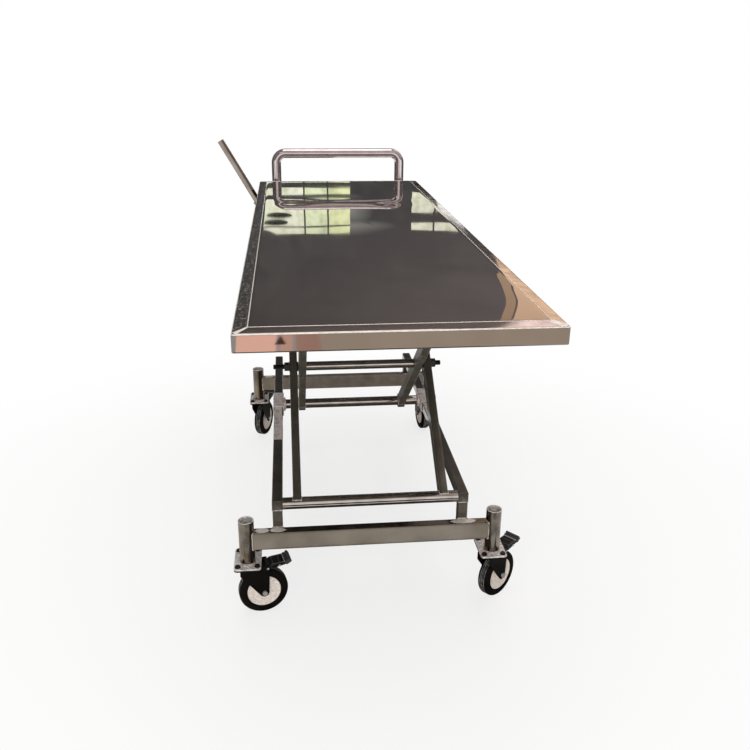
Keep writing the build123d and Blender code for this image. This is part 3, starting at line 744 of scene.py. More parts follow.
    def copied(self, node: str) -> "Shape":
        """Take over a CAD node's own mesh.

        Args:
            node: the node's name.

        Returns:
            This shape.
        """
        mesh = frame["nodes"][node].data
        self.from_cad = True
        base = len(self.points)
        self.points.extend(vertex.co.copy() for vertex in mesh.vertices)
        self.faces.extend(tuple(base + i for i in polygon.vertices) for polygon in mesh.polygons)
        return self

    def piece(self, name: str, finish: Finish, ease: float) -> bpy.types.Object:
        """Turn the shape to an object.

        Args:
            name: the piece's name.
            finish: its surface.
            ease: how far its sharp edges are rounded.

        Returns:
            The object, in its place at rest.
        """
        made = bmesh.new()
        corners = [made.verts.new(point) for point in self.points]
        for face in self.faces:
            made.faces.new([corners[i] for i in face])
        bmesh.ops.remove_doubles(made, verts=made.verts, dist=self.SAME_POINT)
        bmesh.ops.dissolve_degenerate(made, edges=made.edges, dist=self.SAME_POINT / 2)
        if self.from_cad:
            # Its triangles become flat faces, so that only real edges are rounded.
            bmesh.ops.dissolve_limit(made, angle_limit=self.SAME_PLANE, verts=made.verts, edges=made.edges)
        bmesh.ops.recalc_face_normals(made, faces=made.faces)
        if ease:
            sharp = [e for e in made.edges if e.is_manifold and e.calc_face_angle(0.0) > self.SHARP_EDGE]
            bmesh.ops.bevel(
                made, geom=sharp, offset=ease, segments=2, profile=0.5, affect="EDGES", clamp_overlap=True
            )
        mesh = bpy.data.meshes.new(name)
        made.to_mesh(mesh)
        made.free()
        mesh.shade_smooth()
        mesh.set_sharp_from_angle(angle=self.SMOOTH_LIMIT)
        mesh.materials.append(finish.material())
        made_piece = bpy.data.objects.new(name, mesh)
        bpy.context.scene.collection.objects.link(made_piece)
        level = made_piece.modifiers.new("even_normals", "WEIGHTED_NORMAL")
        level.weight = 90
        level.keep_sharp = True
        return made_piece


class Rig:
    """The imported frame: where its nodes lie, what they ride on and how they turn."""

    def __init__(self, packed: dict[str, Any]) -> None:
        """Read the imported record.
        """
        behaviour = packed["record"]["behaviour"]
        self.joints = {joint["name"]: joint for joint in behaviour["joints"]}
        self.bodies = {node: body for body, nodes in behaviour["bodies"].items() for node in nodes}
        self.slots = {part["node"]: part["material_slot"] for part in packed["record"]["subparts"]}

    def pivot(self, joint: str) -> Vector:
        """Give a joint's place at rest."""
        return Vector(self.joints[joint]["pos_m"])

    def axis(self, joint: str) -> Vector:
        """Give a joint's axis at rest."""
        return Vector(self.joints[joint]["axis"])

    def fit(
        self, shape: Shape, name: str, finish: Finish, node: str, instead: bool = True, ease: float = 0.0
    ) -> bpy.types.Object:
        """Make a piece that rides on a node's body.

        Args:
            shape: its shape, in its place at rest.
            name: the piece's name.
            finish: its surface.
            node: the CAD node it belongs to.
            instead: whether it stands for that node.
            ease: how far its sharp edges are rounded.

        Returns:
            The piece.
        """
        piece = shape.piece(name, finish, ease)
        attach(piece, self.bodies[node])
        if instead:
            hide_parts(node)
        LOG.info("%s rides on %s", name, self.bodies[node])
        return piece


@dataclass
class Deck:
    """The deck sheet with its falling rim, the frame under it and the push handle.

    Tables among the fields:
        ripples: height in millimetres, turns a metre across and along, and phase of each slow wave.
        dents: place across and along, reach across and along, and depth in millimetres.
        mitres: side and end of each corner, and half its ground width in millimetres at the rim's
            inner and outer fold.
    """

    # How far up a face looks: the underside, the aprons and the rim's rounded edge look up less.
    UNDERSIDE: ClassVar[float] = -0.9
    APRON_FACE: ClassVar[float] = 0.25
    ROUNDED_EDGE: ClassVar[float] = 0.95
    ON_FOLD: ClassVar[float] = 0.01 * MM

    rig: Rig
    rim_width: float = 30 * MM
    rim_drop: float = 4.5 * MM
    apron: float = 38 * MM
    lip: float = 14 * MM
    sheet: float = 2 * MM
    fold: float = 3 * MM
    fold_run: float = 1.5 * MM
    corner: float = 3 * MM
    inner_corner: float = 0.6 * MM
    cell: float = 10 * MM
    wave_fade: float = 30 * MM
    ripples: tuple[tuple[float, float, float, float], ...] = (
        (0.16, 0.55, 1 / 0.83, 0.1),
        (0.12, 1 / 0.47, -1 / 1.7, 0.3),
        (0.025, 1 / 0.61 + 1 / 0.74, 1 / 0.29, 0.0),
        (0.025, 1 / 0.61 - 1 / 0.74, 1 / 0.29, 0.0),
    )
    dents: tuple[tuple[float, float, float, float, float], ...] = (
        (-0.20, 0.435, 0.050, 0.045, 0.80),
        (0.15, 0.40, 0.045, 0.045, 0.80),
        (-0.03, 0.47, 0.150, 0.060, -0.40),
        (0.20, -0.60, 0.075, 0.080, -1.30),
        (0.185, -0.83, 0.075, 0.090, 1.30),
        (0.27, 0.45, 0.030, 0.050, 0.40),
        (0.10, -0.30, 0.110, 0.160, 0.30),
        (-0.12, -0.55, 0.120, 0.200, -0.26),
    )
    crease: float = 1.1 * MM
    crease_gap: float = 0.02 * MM
    mitres: tuple[tuple[int, int, float, float], ...] = (
        (-1, -1, 2.4, 6.4), (1, -1, 11.0, 13.0), (1, 1, 2.2, 5.8), (-1, 1, 2.2, 5.8),
    )
    mitre_stop: float = 5 * MM
    mitre_uneven: float = 0.4 * MM
    mitre_height: float = 0.35 * MM
    mitre_gap: float = 0.15 * MM
    bar: float = 30 * MM
    bar_corner: float = 3 * MM
    bar_wall: float = 2.5 * MM
    bar_gap: float = 0.1 * MM
    crossbars: int = 5
    cross_height: float = 20 * MM
    cross_weld: float = 8 * MM
    hanger: float = 28 * MM
    hanger_back: float = 130 * MM
    frame_bead: float = 1.6 * MM
    handle_bend: float = 38 * MM
    handle_wall: float = 2 * MM
    cradle_foot: float = 28 * MM
    cradle_edge: float = 16.5 * MM
    cradle_margin: float = 2 * MM
    cradle_bead: float = 1.8 * MM
    draw: random.Random = field(default_factory=lambda: random.Random(11))

    def __post_init__(self) -> None:
        """Read the deck's place from the frame."""
        low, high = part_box("deck_tray")
        self.middle = Vector(((low.x + high.x) / 2, (low.y + high.y) / 2, high.z - self.rim_drop))
        self.width = high.x - low.x
        self.length = high.y - low.y
        self.half_x = self.width / 2 - self.rim_width
        self.half_y = self.length / 2 - self.rim_width
        self.columns = round(2 * self.half_x / self.cell)
        self.rows = round(2 * self.half_y / self.cell)

    def build(self) -> None:
        """Make every piece of the table's top."""
        self.build_tray()
        self.build_creases()
        self.build_frame()
        self.build_handle()

    def ring(self, inset: float, rise: float, corner: float) -> list[Vector]:
        """Give a ring of points round the deck.

        Args:
            inset: how far inside the deck's outline it lies.
            rise: its height over the rim's edge.
            corner: its corner radius.

        Returns:
            The points, in step with those of every other ring.
        """
        sides = (self.columns, self.rows)
        outline = rounded(self.width / 2 - inset, self.length / 2 - inset, corner, sides)
        return [self.middle + Vector((x, y, rise)) for x, y in outline]

    def wave(self, x: float, y: float) -> float:
        """Give the sheet's unevenness.

        Args:
            x: place across the deck, from its middle.
            y: place along the deck, from its middle.

        Returns:
            How far the sheet stands above or below its plane there.
        """
        total = 0.0
        for height, across, along, phase in self.ripples:
            total += height * math.sin(math.tau * (across * x + along * y + phase))
        for at_x, at_y, wide, long, depth in self.dents:
            total -= depth * math.exp(-(((x - at_x) / wide) ** 2) - ((y - at_y) / long) ** 2)
        edge = min(self.half_x - abs(x), self.half_y - abs(y))
        fade = min(max(edge / self.wave_fade, 0.0), 1.0)
        return total * MM * fade * fade * (3 - 2 * fade)

    def build_tray(self) -> None:
        """Make the folded sheet: wavy deck, falling rim, apron and return lip."""
        slope = self.rim_drop / self.rim_width
        flat, fold, under, inner = self.rim_width, self.fold, -self.apron, self.sheet
        run = fold + self.fold_run
        spots = [(flat, self.rim_drop, 0.0), (run, run * slope, self.corner)]
        for k in range(7):
            turn = math.pi / 2 * k / 6
            rise = fold * slope * 0.5 - fold * (1 - math.cos(turn))
            spots.append((fold * (1 - math.sin(turn)), rise, self.corner))
        for k in range(5):
            turn = math.pi / 2 * k / 4
            rise = under + fold * (1 - math.sin(turn))
            spots.append((fold * (1 - math.cos(turn)), rise, self.corner))
        inside = (
            (self.lip, under),
            (self.lip, under + inner),
            (inner + fold, under + inner),
            (inner, under + inner + fold),
            (inner, -inner - fold),
            (inner + fold, -inner),
        )
        spots += [(inset, rise, self.inner_corner) for inset, rise in inside]
        spots.append((flat, self.rim_drop - inner, 0.0))
        rings = [self.ring(*spot) for spot in spots]
        shape = Shape().skin(rings)
        count = len(rings[0])
        shape.faces.append(tuple(range(len(shape.points) - count, len(shape.points))))
        rows = []
        for j in range(self.rows + 1):
            y = self.half_y * (2 * j / self.rows - 1)
            row = []
            for i in range(self.columns + 1):
                x = self.half_x * (2 * i / self.columns - 1)
                row.append(self.middle + Vector((x, y, self.rim_drop + self.wave(x, y))))
            rows.append(row)
        shape.skin(rows, rows=True)
        tray = self.rig.fit(shape, "deck_sheet", POLISHED_SHEET, "deck_tray")
        self.dress_rim(tray)

    def dress_rim(self, tray: bpy.types.Object) -> None:
        """Give the falling rim, its outer fold and the underside finishes of their own.

        Args:
            tray: the folded sheet.
        """
        finishes = (POLISHED_SHEET, FOLDED_SHEET, SCUFFED_SHEET, GROUND_WELD, MILL_SHEET)
        for finish in finishes[1:]:
            tray.data.materials.append(finish.material())
        for face in tray.data.polygons:
            away = face.center - self.middle
            beside, beyond = abs(away.x) - self.half_x, abs(away.y) - self.half_y
            if face.normal.z < self.UNDERSIDE:
                finish = MILL_SHEET
            elif max(beside, beyond) < 0 or face.normal.z < self.APRON_FACE:
                finish = POLISHED_SHEET
            # The rim's rounded outer fold is drawn near-white: painted highlight.
            elif face.normal.z < self.ROUNDED_EDGE:
                finish = GROUND_WELD
            # The rim's left side gets the darker, flecked fold: painted shade and painted glints.
            elif away.x < 0 and beside > beyond:
                finish = SCUFFED_SHEET
            else:
                finish = FOLDED_SHEET
            face.material_index = finishes.index(finish)

    def outward(self, point: Vector) -> Vector:
        """Give the way out of the deck at a point of the rim's inner fold.

        Args:
            point: the point.

        Returns:
            One step across, along or both.
        """
        away = point - self.middle
        on_x = abs(away.x) > self.half_x - self.ON_FOLD
        on_y = abs(away.y) > self.half_y - self.ON_FOLD
        return Vector((math.copysign(on_x, away.x), math.copysign(on_y, away.y), 0.0))

    def build_creases(self) -> None:
        """Make the bright line along the rim's inner fold, a raised near-white strip that is a painted
        highlight, and the ground welds of its mitres.
        """
        shape = Shape()
        inner = self.ring(self.rim_width, self.rim_drop, 0.0)
        slope = self.rim_drop / self.rim_width
        # The near-white strip along the inner fold: painted highlight.
        rings = []
        for k in range(7):
            turn = math.pi * k / 6
            shift = self.crease * math.cos(turn)
            fall = max(shift, 0.0) * slope
            lift = self.crease * 0.5 * math.sin(turn) + self.crease_gap - fall
            rings.append([point + self.outward(point) * shift + Z_AXIS * lift for point in inner])
        shape.skin(rings)
        for mitre in self.mitres:
            self.grind_mitre(shape, *mitre)
        self.rig.fit(shape, "deck_fold_highlight_and_mitre_welds", GROUND_WELD, "deck_tray", instead=False)

    def grind_mitre(self, shape: Shape, side: int, end: int, least: float, most: float) -> None:
        """Add the ground weld of one mitre to a shape.

        Args:
            shape: the shape that gets it.
            side: the corner's side, minus one or one.
            end: the corner's end, minus one or one.
            least: half its width at the inner fold, in millimetres.
            most: half its width at the outer fold, in millimetres.
        """
        reach = self.rim_width - self.mitre_stop
        fall = self.rim_drop * reach / self.rim_width
        start = self.middle + Vector((side * self.half_x, end * self.half_y, self.rim_drop))
        stop = start + Vector((side * reach, end * reach, -fall))
        across = Vector((-end, side, 0.0)).normalized()
        rows = []
        for i in range(13):
            share = i / 12
            middle = start.lerp(stop, share)
            half = (least + (most - least) * share) * MM + self.mitre_uneven * self.draw.uniform(-1, 1)
            half = min(half, 1.3 * (self.rim_width - reach * share))
            top = self.mitre_height * math.sin(math.pi * min(share + 0.12, 0.95))
            row = []
            for k in range(7):
                turn = math.pi * k / 6
                lift = top * math.sin(turn) + self.mitre_gap - 0.1 * half * abs(math.cos(turn))
                row.append(middle + across * half * math.cos(turn) + Z_AXIS * lift)
            rows.append(row)
        shape.skin(rows, rows=True)

    def build_frame(self) -> None:
        """Make bearers, crossbars, upper rails and hangers."""
        low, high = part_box("deck_frame")
        rail_low, rail_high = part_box("upper_rails")
        hang_low, hang_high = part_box("upper_rail_hangers")
        half_bar, half_hanger = self.bar / 2, self.hanger / 2
        beam_x = high.x - half_bar
        reach = beam_x - half_bar - self.bar_gap
        middle_z, rail_z = (low.z + high.z) / 2, (rail_low.z + rail_high.z) / 2
        cross_z = high.z - self.cross_height / 2
        step = (high.y - low.y - self.bar) / (self.crossbars - 1)
        spots = [low.y + half_bar + step * k for k in range(self.crossbars)]
        bearer = boxed(self.bar, high.z - low.z, self.bar_corner)
        cross = boxed(self.bar, self.cross_height, self.bar_corner)
        rail = boxed(self.bar, self.bar, self.bar_corner)
        post = boxed(self.hanger, self.hanger, self.bar_corner)
        bearers, rails, hangers, welds = Shape(), Shape(), Shape(), Shape()
        for sign in SIGNS:
            basis = Basis.at((sign * beam_x, 0, middle_z), Y_AXIS, X_AXIS)
            bearers.bar(basis, bearer, low.y, high.y, self.bar_wall)
            basis = Basis.at((sign * beam_x, 0, rail_z), Y_AXIS, X_AXIS)
            rails.bar(basis, rail, rail_low.y, rail_high.y, lip=1.2 * MM)
        for y in spots:
            basis = Basis.at((0, y, cross_z), X_AXIS, Y_AXIS)
            bearers.bar(basis, cross, -reach, reach, self.bar_wall)
        slide_y = self.rig.pivot("upper_slide_turn").y
        for y in (hang_low.y + half_hanger, slide_y - self.hanger_back, hang_high.y - half_hanger):
            for sign in SIGNS:
                basis = Basis.at((sign * beam_x, y, 0), Z_AXIS, X_AXIS)
                hangers.bar(basis, post, hang_low.z, hang_high.z, self.bar_wall, 0.1 * MM)
                for z in (hang_low.z, hang_high.z):
                    welds.seam(basis, post, z, self.frame_bead, self.draw)
        for y in spots:
            for sign in SIGNS:
                basis = Basis.at((0, y, cross_z), X_AXIS * sign, Y_AXIS)
                path = [basis.point(half_bar, v, reach) for v in (-self.cross_weld, self.cross_weld)]
                welds.bead(path, self.frame_bead, self.draw, closed=False)
        self.rig.fit(bearers, "deck_bearers", DRAWN_TUBE, "deck_frame")
        self.rig.fit(rails, "upper_slide_rails", DRAWN_TUBE, "upper_rails")
        self.rig.fit(hangers, "rail_hangers", DRAWN_TUBE, "upper_rail_hangers")
        self.rig.fit(welds, "table_welds", WELD_METAL, "upper_rail_hangers", instead=False)

    def build_handle(self) -> None:
        """Make the push handle and the cradles it is welded to."""
        low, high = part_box("push_handle")
        diameter = high.y - low.y
        half = diameter / 2
        y = (low.y + high.y) / 2
        left, right, top = low.x + half, high.x - half, high.z - half
        bend = self.handle_bend
        side = [(0.0, low.z), (0.0, top - bend - 1 * MM)]
        for k in range(13):
            turn = math.pi / 2 * k / 12
            side.append((bend * (1 - math.cos(turn)), top - bend * (1 - math.sin(turn))))
        path = [Vector((left + inward, y, z)) for inward, z in side]
        path += [Vector((right - inward, y, z)) for inward, z in reversed(side)]
        shape = Shape().swept(path, Y_AXIS, tube(diameter), self.handle_wall)
        self.rig.fit(shape, "push_handle_tube", BUFFED_HANDLE, "push_handle")

        cradles = Shape().copied("handle_brackets")
        self.rig.fit(cradles, "handle_cradles", BUFFED_HANDLE, "handle_brackets", ease=0.8 * MM)
        welds = Shape()
        low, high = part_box("handle_brackets")
        rise = Z_AXIS * (high.z - low.z - 2 * self.cradle_margin)
        lines = ((self.cradle_foot, low.y + 0.6 * MM), (self.cradle_edge, high.y - 1.2 * MM))
        for x in (left, right):
            for sign in SIGNS:
                for spread, line_y in lines:
                    start = Vector((x + sign * spread, line_y, low.z + self.cradle_margin))
                    welds.bead([start, start + rise], self.cradle_bead, self.draw, closed=False)
        self.rig.fit(welds, "handle_welds", WELD_METAL, "handle_brackets", instead=False)


@dataclass
class Base:
    """Cross beams, corner posts, foot plates, slide rails and what holds the casters on."""

    rig: Rig
    wall: float = 2.5 * MM
    cope_gap: float = 0.2 * MM
    beam_corner: float = 3 * MM
    beam_bead: float = 2 * MM
    post_diameter: float = 44 * MM
    post_rim: float = 2 * MM
    post_beads: tuple[Pair, ...] = ((0.8 * MM, 3.4 * MM), (3.2 * MM, 1.6 * MM))
    setback: float = 15 * MM
    rail_corner: float = 3 * MM
    stub: float = 28 * MM
    stub_corner: float = 2.5 * MM
    stub_bead: float = 1.7 * MM
    front_bead: float = 2.4 * MM
    patch_reach: Triple = (20 * MM, 22 * MM, 36 * MM)
    patch_points: int = 36
    patch_uneven: float = 0.12
    tracks: Pair = (262 * MM, 180 * MM)
    track_width: float = 26 * MM
    track_skin: float = 0.24 * MM
    plate_size: Pair = (77 * MM, 110 * MM)
    plate_corner: float = 8 * MM
    caster_plate: float = 4 * MM
    race: float = 29 * MM
    race_bore: float = 6.1 * MM
    bolt: float = 7.6 * MM
    bolt_flats: float = 13 * MM
    bolt_spread: Pair = (27.5 * MM, 42 * MM)
    washer: float = 17 * MM
    washer_thick: float = 1.3 * MM
    draw: random.Random = field(default_factory=lambda: random.Random(23))

    def __post_init__(self) -> None:
        """Read the casters' places from the frame."""
        self.kingpins = {corner: self.rig.pivot(f"{corner}_swivel_turn") for corner in CORNERS}

    def build(self) -> None:
        """Make every piece of the base."""
        self.welds = Shape()
        self.build_beams()
        self.build_posts()
        self.build_rails()
        self.build_patches()
        self.build_tracks()
        self.build_plates()
        self.rig.fit(self.welds, "base_welds", WELD_METAL, "near_beam", instead=False)

    def build_beams(self) -> None:
        """Make the two cross beams, coped round the posts."""
        round_post = self.post_diameter / 2 + self.cope_gap
        post_x = self.kingpins["near_right"].x

        def left(u: float, v: float) -> float:
            """Give the beam's end at the left post."""
            return -right(u, v)

        def right(u: float, v: float) -> float:
            """Give the beam's end at the right post."""
            return post_x - math.sqrt(round_post**2 - u**2)

        for end in ("near", "far"):
            low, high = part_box(f"{end}_beam")
            middle = (low + high) / 2
            section = boxed(high.y - low.y, high.z - low.z, self.beam_corner, 6)
            basis = Basis.at((0, middle.y, middle.z), X_AXIS, Y_AXIS)
            shape = Shape().bar(basis, section, left, right, self.wall, 0.05 * MM)
            # The far beam gets the paler, less metallic copy of the tube: painted light.
            finish = POLISHED_TUBE if end == "near" else PICKLED_TUBE
            self.rig.fit(shape, f"{end}_cross_beam", finish, f"{end}_beam")
            for reach in (left, right):
                self.welds.seam(basis, section, reach, self.beam_bead, self.draw)

    def build_posts(self) -> None:
        """Make the open-topped corner posts."""
        low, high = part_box("corner_posts")
        shape, rims, bores = Shape(), Shape(), Shape()
        section = tube(self.post_diameter)
        bore = tube(self.post_diameter - 2 * self.wall + 0.1 * MM)
        for pin in self.kingpins.values():
            basis = Basis.at((pin.x, pin.y - self.setback, 0), Z_AXIS, X_AXIS)
            shape.bar(basis, section, low.z, high.z - self.post_rim, self.wall, 0.1 * MM)
            rims.bar(basis, section, high.z - self.post_rim, high.z, self.wall, 0.7 * MM)
            bores.bar(basis, bore, low.z + 1 * MM, high.z - 1 * MM, 0.4 * MM, 0.1 * MM)
            for height, size in self.post_beads:
                self.welds.seam(basis, section, low.z + height, size, self.draw)
        # The posts get the darker copy of the buffed tube: painted shade.
        self.rig.fit(shape, "open_corner_posts", POST_TUBE, "corner_posts")
        # The near-white ring at each post's top: the cut edge ground bright, with a painted highlight along
        # it.
        self.rig.fit(rims, "post_rims", GROUND_WELD, "corner_posts", instead=False)
        # The bores get the pale plate finish, so that the inside of each post looks lit: painted light.
        self.rig.fit(bores, "post_bores", WELDED_PLATE, "corner_posts", instead=False)

    def build_rails(self) -> None:
        """Make the slide rails and their stubs."""
        stub = boxed(self.stub, self.stub, self.stub_corner)
        stub_low, stub_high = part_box("rail_stubs")
        beam_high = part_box("near_beam")[1].z
        half = self.stub / 2
        foot = stub_low.z - beam_high + 3 * MM
        edge = ((-half, 0.4 * MM, foot), (-half, 0.4 * MM, -1 * MM), (2 * MM - half, 0.0, 0.4 * MM))
        front = [*edge, *((-u, v, w) for u, v, w in reversed(edge))]
        stubs = Shape()
        for side in SIDES:
            low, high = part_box(f"{side}_rail")
            middle = (low + high) / 2
            basis = Basis.at((middle.x, 0, middle.z), Y_AXIS, X_AXIS)
            section = boxed(high.x - low.x, high.z - low.z, self.rail_corner)
            rail = Shape().bar(basis, section, low.y, high.y, lip=1.4 * MM)
            self.rig.fit(rail, f"{side}_slide_rail", DRAWN_TUBE, f"{side}_rail")
            near = Basis.at((middle.x, stub_low.y + half, 0), Z_AXIS, X_AXIS)
            far = Basis.at((middle.x, stub_high.y - half, 0), Z_AXIS, X_AXIS)
            stubs.bar(near, stub, stub_low.z, stub_high.z, self.wall, 0.3 * MM)
            stubs.bar(far, stub, beam_high, stub_high.z, self.wall, 0.1 * MM)
            for basis in (near, far):
                self.welds.seam(basis, stub, stub_high.z - 0.2 * MM, self.stub_bead, self.draw)
            self.welds.seam(far, stub, beam_high + 0.4 * MM, self.beam_bead, self.draw)
            corner = Vector((middle.x, stub_low.y, beam_high))
            path = [corner + Vector(spot) for spot in front]
            self.welds.bead(path, self.front_bead, self.draw, closed=False)
        self.rig.fit(stubs, "slide_rail_stubs", DRAWN_TUBE, "rail_stubs")

    def build_patches(self) -> None:
        """Make the patches that the grinder left on the beams, beside the stubs and the posts."""
        shape = Shape()
        post_x = self.kingpins["near_right"].x
        rail_low, rail_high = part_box("right_rail")
        stub_x = (rail_low.x + rail_high.x) / 2
        places = (self.post_diameter - post_x, -stub_x, stub_x)
        for end in ("near", "far"):
            low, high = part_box(f"{end}_beam")
            half = (high.y - low.y) / 2 - self.beam_corner
            middle = (low.y + high.y) / 2
            for x, reach in zip(places, self.patch_reach):
                outline = []
                for k in range(self.patch_points):
                    turn = math.tau * k / self.patch_points
                    swell = 1 + self.draw.uniform(-self.patch_uneven, self.patch_uneven)
                    outline.append((reach * swell * math.cos(turn), half * math.sin(turn)))
                basis = Basis.at((x, middle, high.z), Z_AXIS, X_AXIS)
                shape.plate(basis, outline, -0.3 * MM, 0.12 * MM)
        self.rig.fit(shape, "ground_patches", GROUND_WELD, "near_beam", instead=False)

    def build_tracks(self) -> None:
        """Make the bright tracks that the sleeves have worn on the rails."""
        shape = Shape()
        skin = boxed(self.track_width, self.track_skin, 0.1 * MM)
        for side, track in zip(SIDES, self.tracks):
            low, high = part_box(f"{side}_rail")
            basis = Basis.at(((low.x + high.x) / 2, 0, high.z), Y_AXIS, X_AXIS)
            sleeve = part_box(f"{side}_lower_sleeve")[0].y
            shape.bar(basis, skin, sleeve - track, sleeve, lip=0.05 * MM)
        self.rig.fit(shape, "rail_worn_tracks", POLISHED_SLEEVE, "left_rail", instead=False)

    def build_plates(self) -> None:
        """Make foot plates, caster plates with their races, and the bolts through both."""
        foot_low, foot_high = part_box("foot_plates")
        race_low, race_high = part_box("caster_plates")
        bolt_low, bolt_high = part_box("caster_bolts")
        plate_low, bottom = race_high.z - self.caster_plate, race_low.z
        feet, plates, bolts = Shape(), Shape(), Shape()
        outline = boxed(*self.plate_size, self.plate_corner)
        race, bore, roof = self.race, self.race_bore, plate_low + 0.2 * MM
        profile = [
            (bore, bottom), (race - 5 * MM, bottom), (race - 1.2 * MM, bottom + 0.8 * MM),
            (race, bottom + 2.2 * MM), (race - 0.3 * MM, bottom + 4.2 * MM),
            (race - 2.4 * MM, roof), (bore, roof),
        ]
        head_low = foot_high.z + self.washer_thick
        for pin in self.kingpins.values():
            basis = Basis.at((pin.x, pin.y, 0), Z_AXIS, X_AXIS)
            feet.bar(basis, outline, foot_low.z, foot_high.z, lip=0.7 * MM)
            plates.bar(basis, outline, plate_low, race_high.z, lip=0.6 * MM)
            plates.turned(basis, profile)
            for i in SIGNS:
                for j in SIGNS:
                    u, v = i * self.bolt_spread[0], j * self.bolt_spread[1]
                    # Each head is turned a little differently, as hands leave them.
                    spot = Basis.at(basis.point(u, v, 0.0), Z_AXIS, Vector((0.8, 0.6 * i + 0.2 * j, 0)))
                    bolts.bar(spot, tube(self.washer), foot_high.z, head_low, lip=0.3 * MM)
                    bolts.nut(spot, self.bolt_flats, head_low, bolt_high.z)
                    bolts.nut(spot, self.bolt_flats, bolt_low.z + 0.4 * MM, plate_low)
                    bolts.bar(spot, tube(self.bolt), bolt_low.z, plate_low, lip=0.3 * MM)
        self.rig.fit(feet, "post_foot_plates", WELDED_PLATE, "foot_plates")
        self.rig.fit(plates, "caster_top_plates", BLACK_STEEL, "caster_plates")
        self.rig.fit(bolts, "caster_bolts_and_nuts", BLACK_ROD, "caster_bolts")


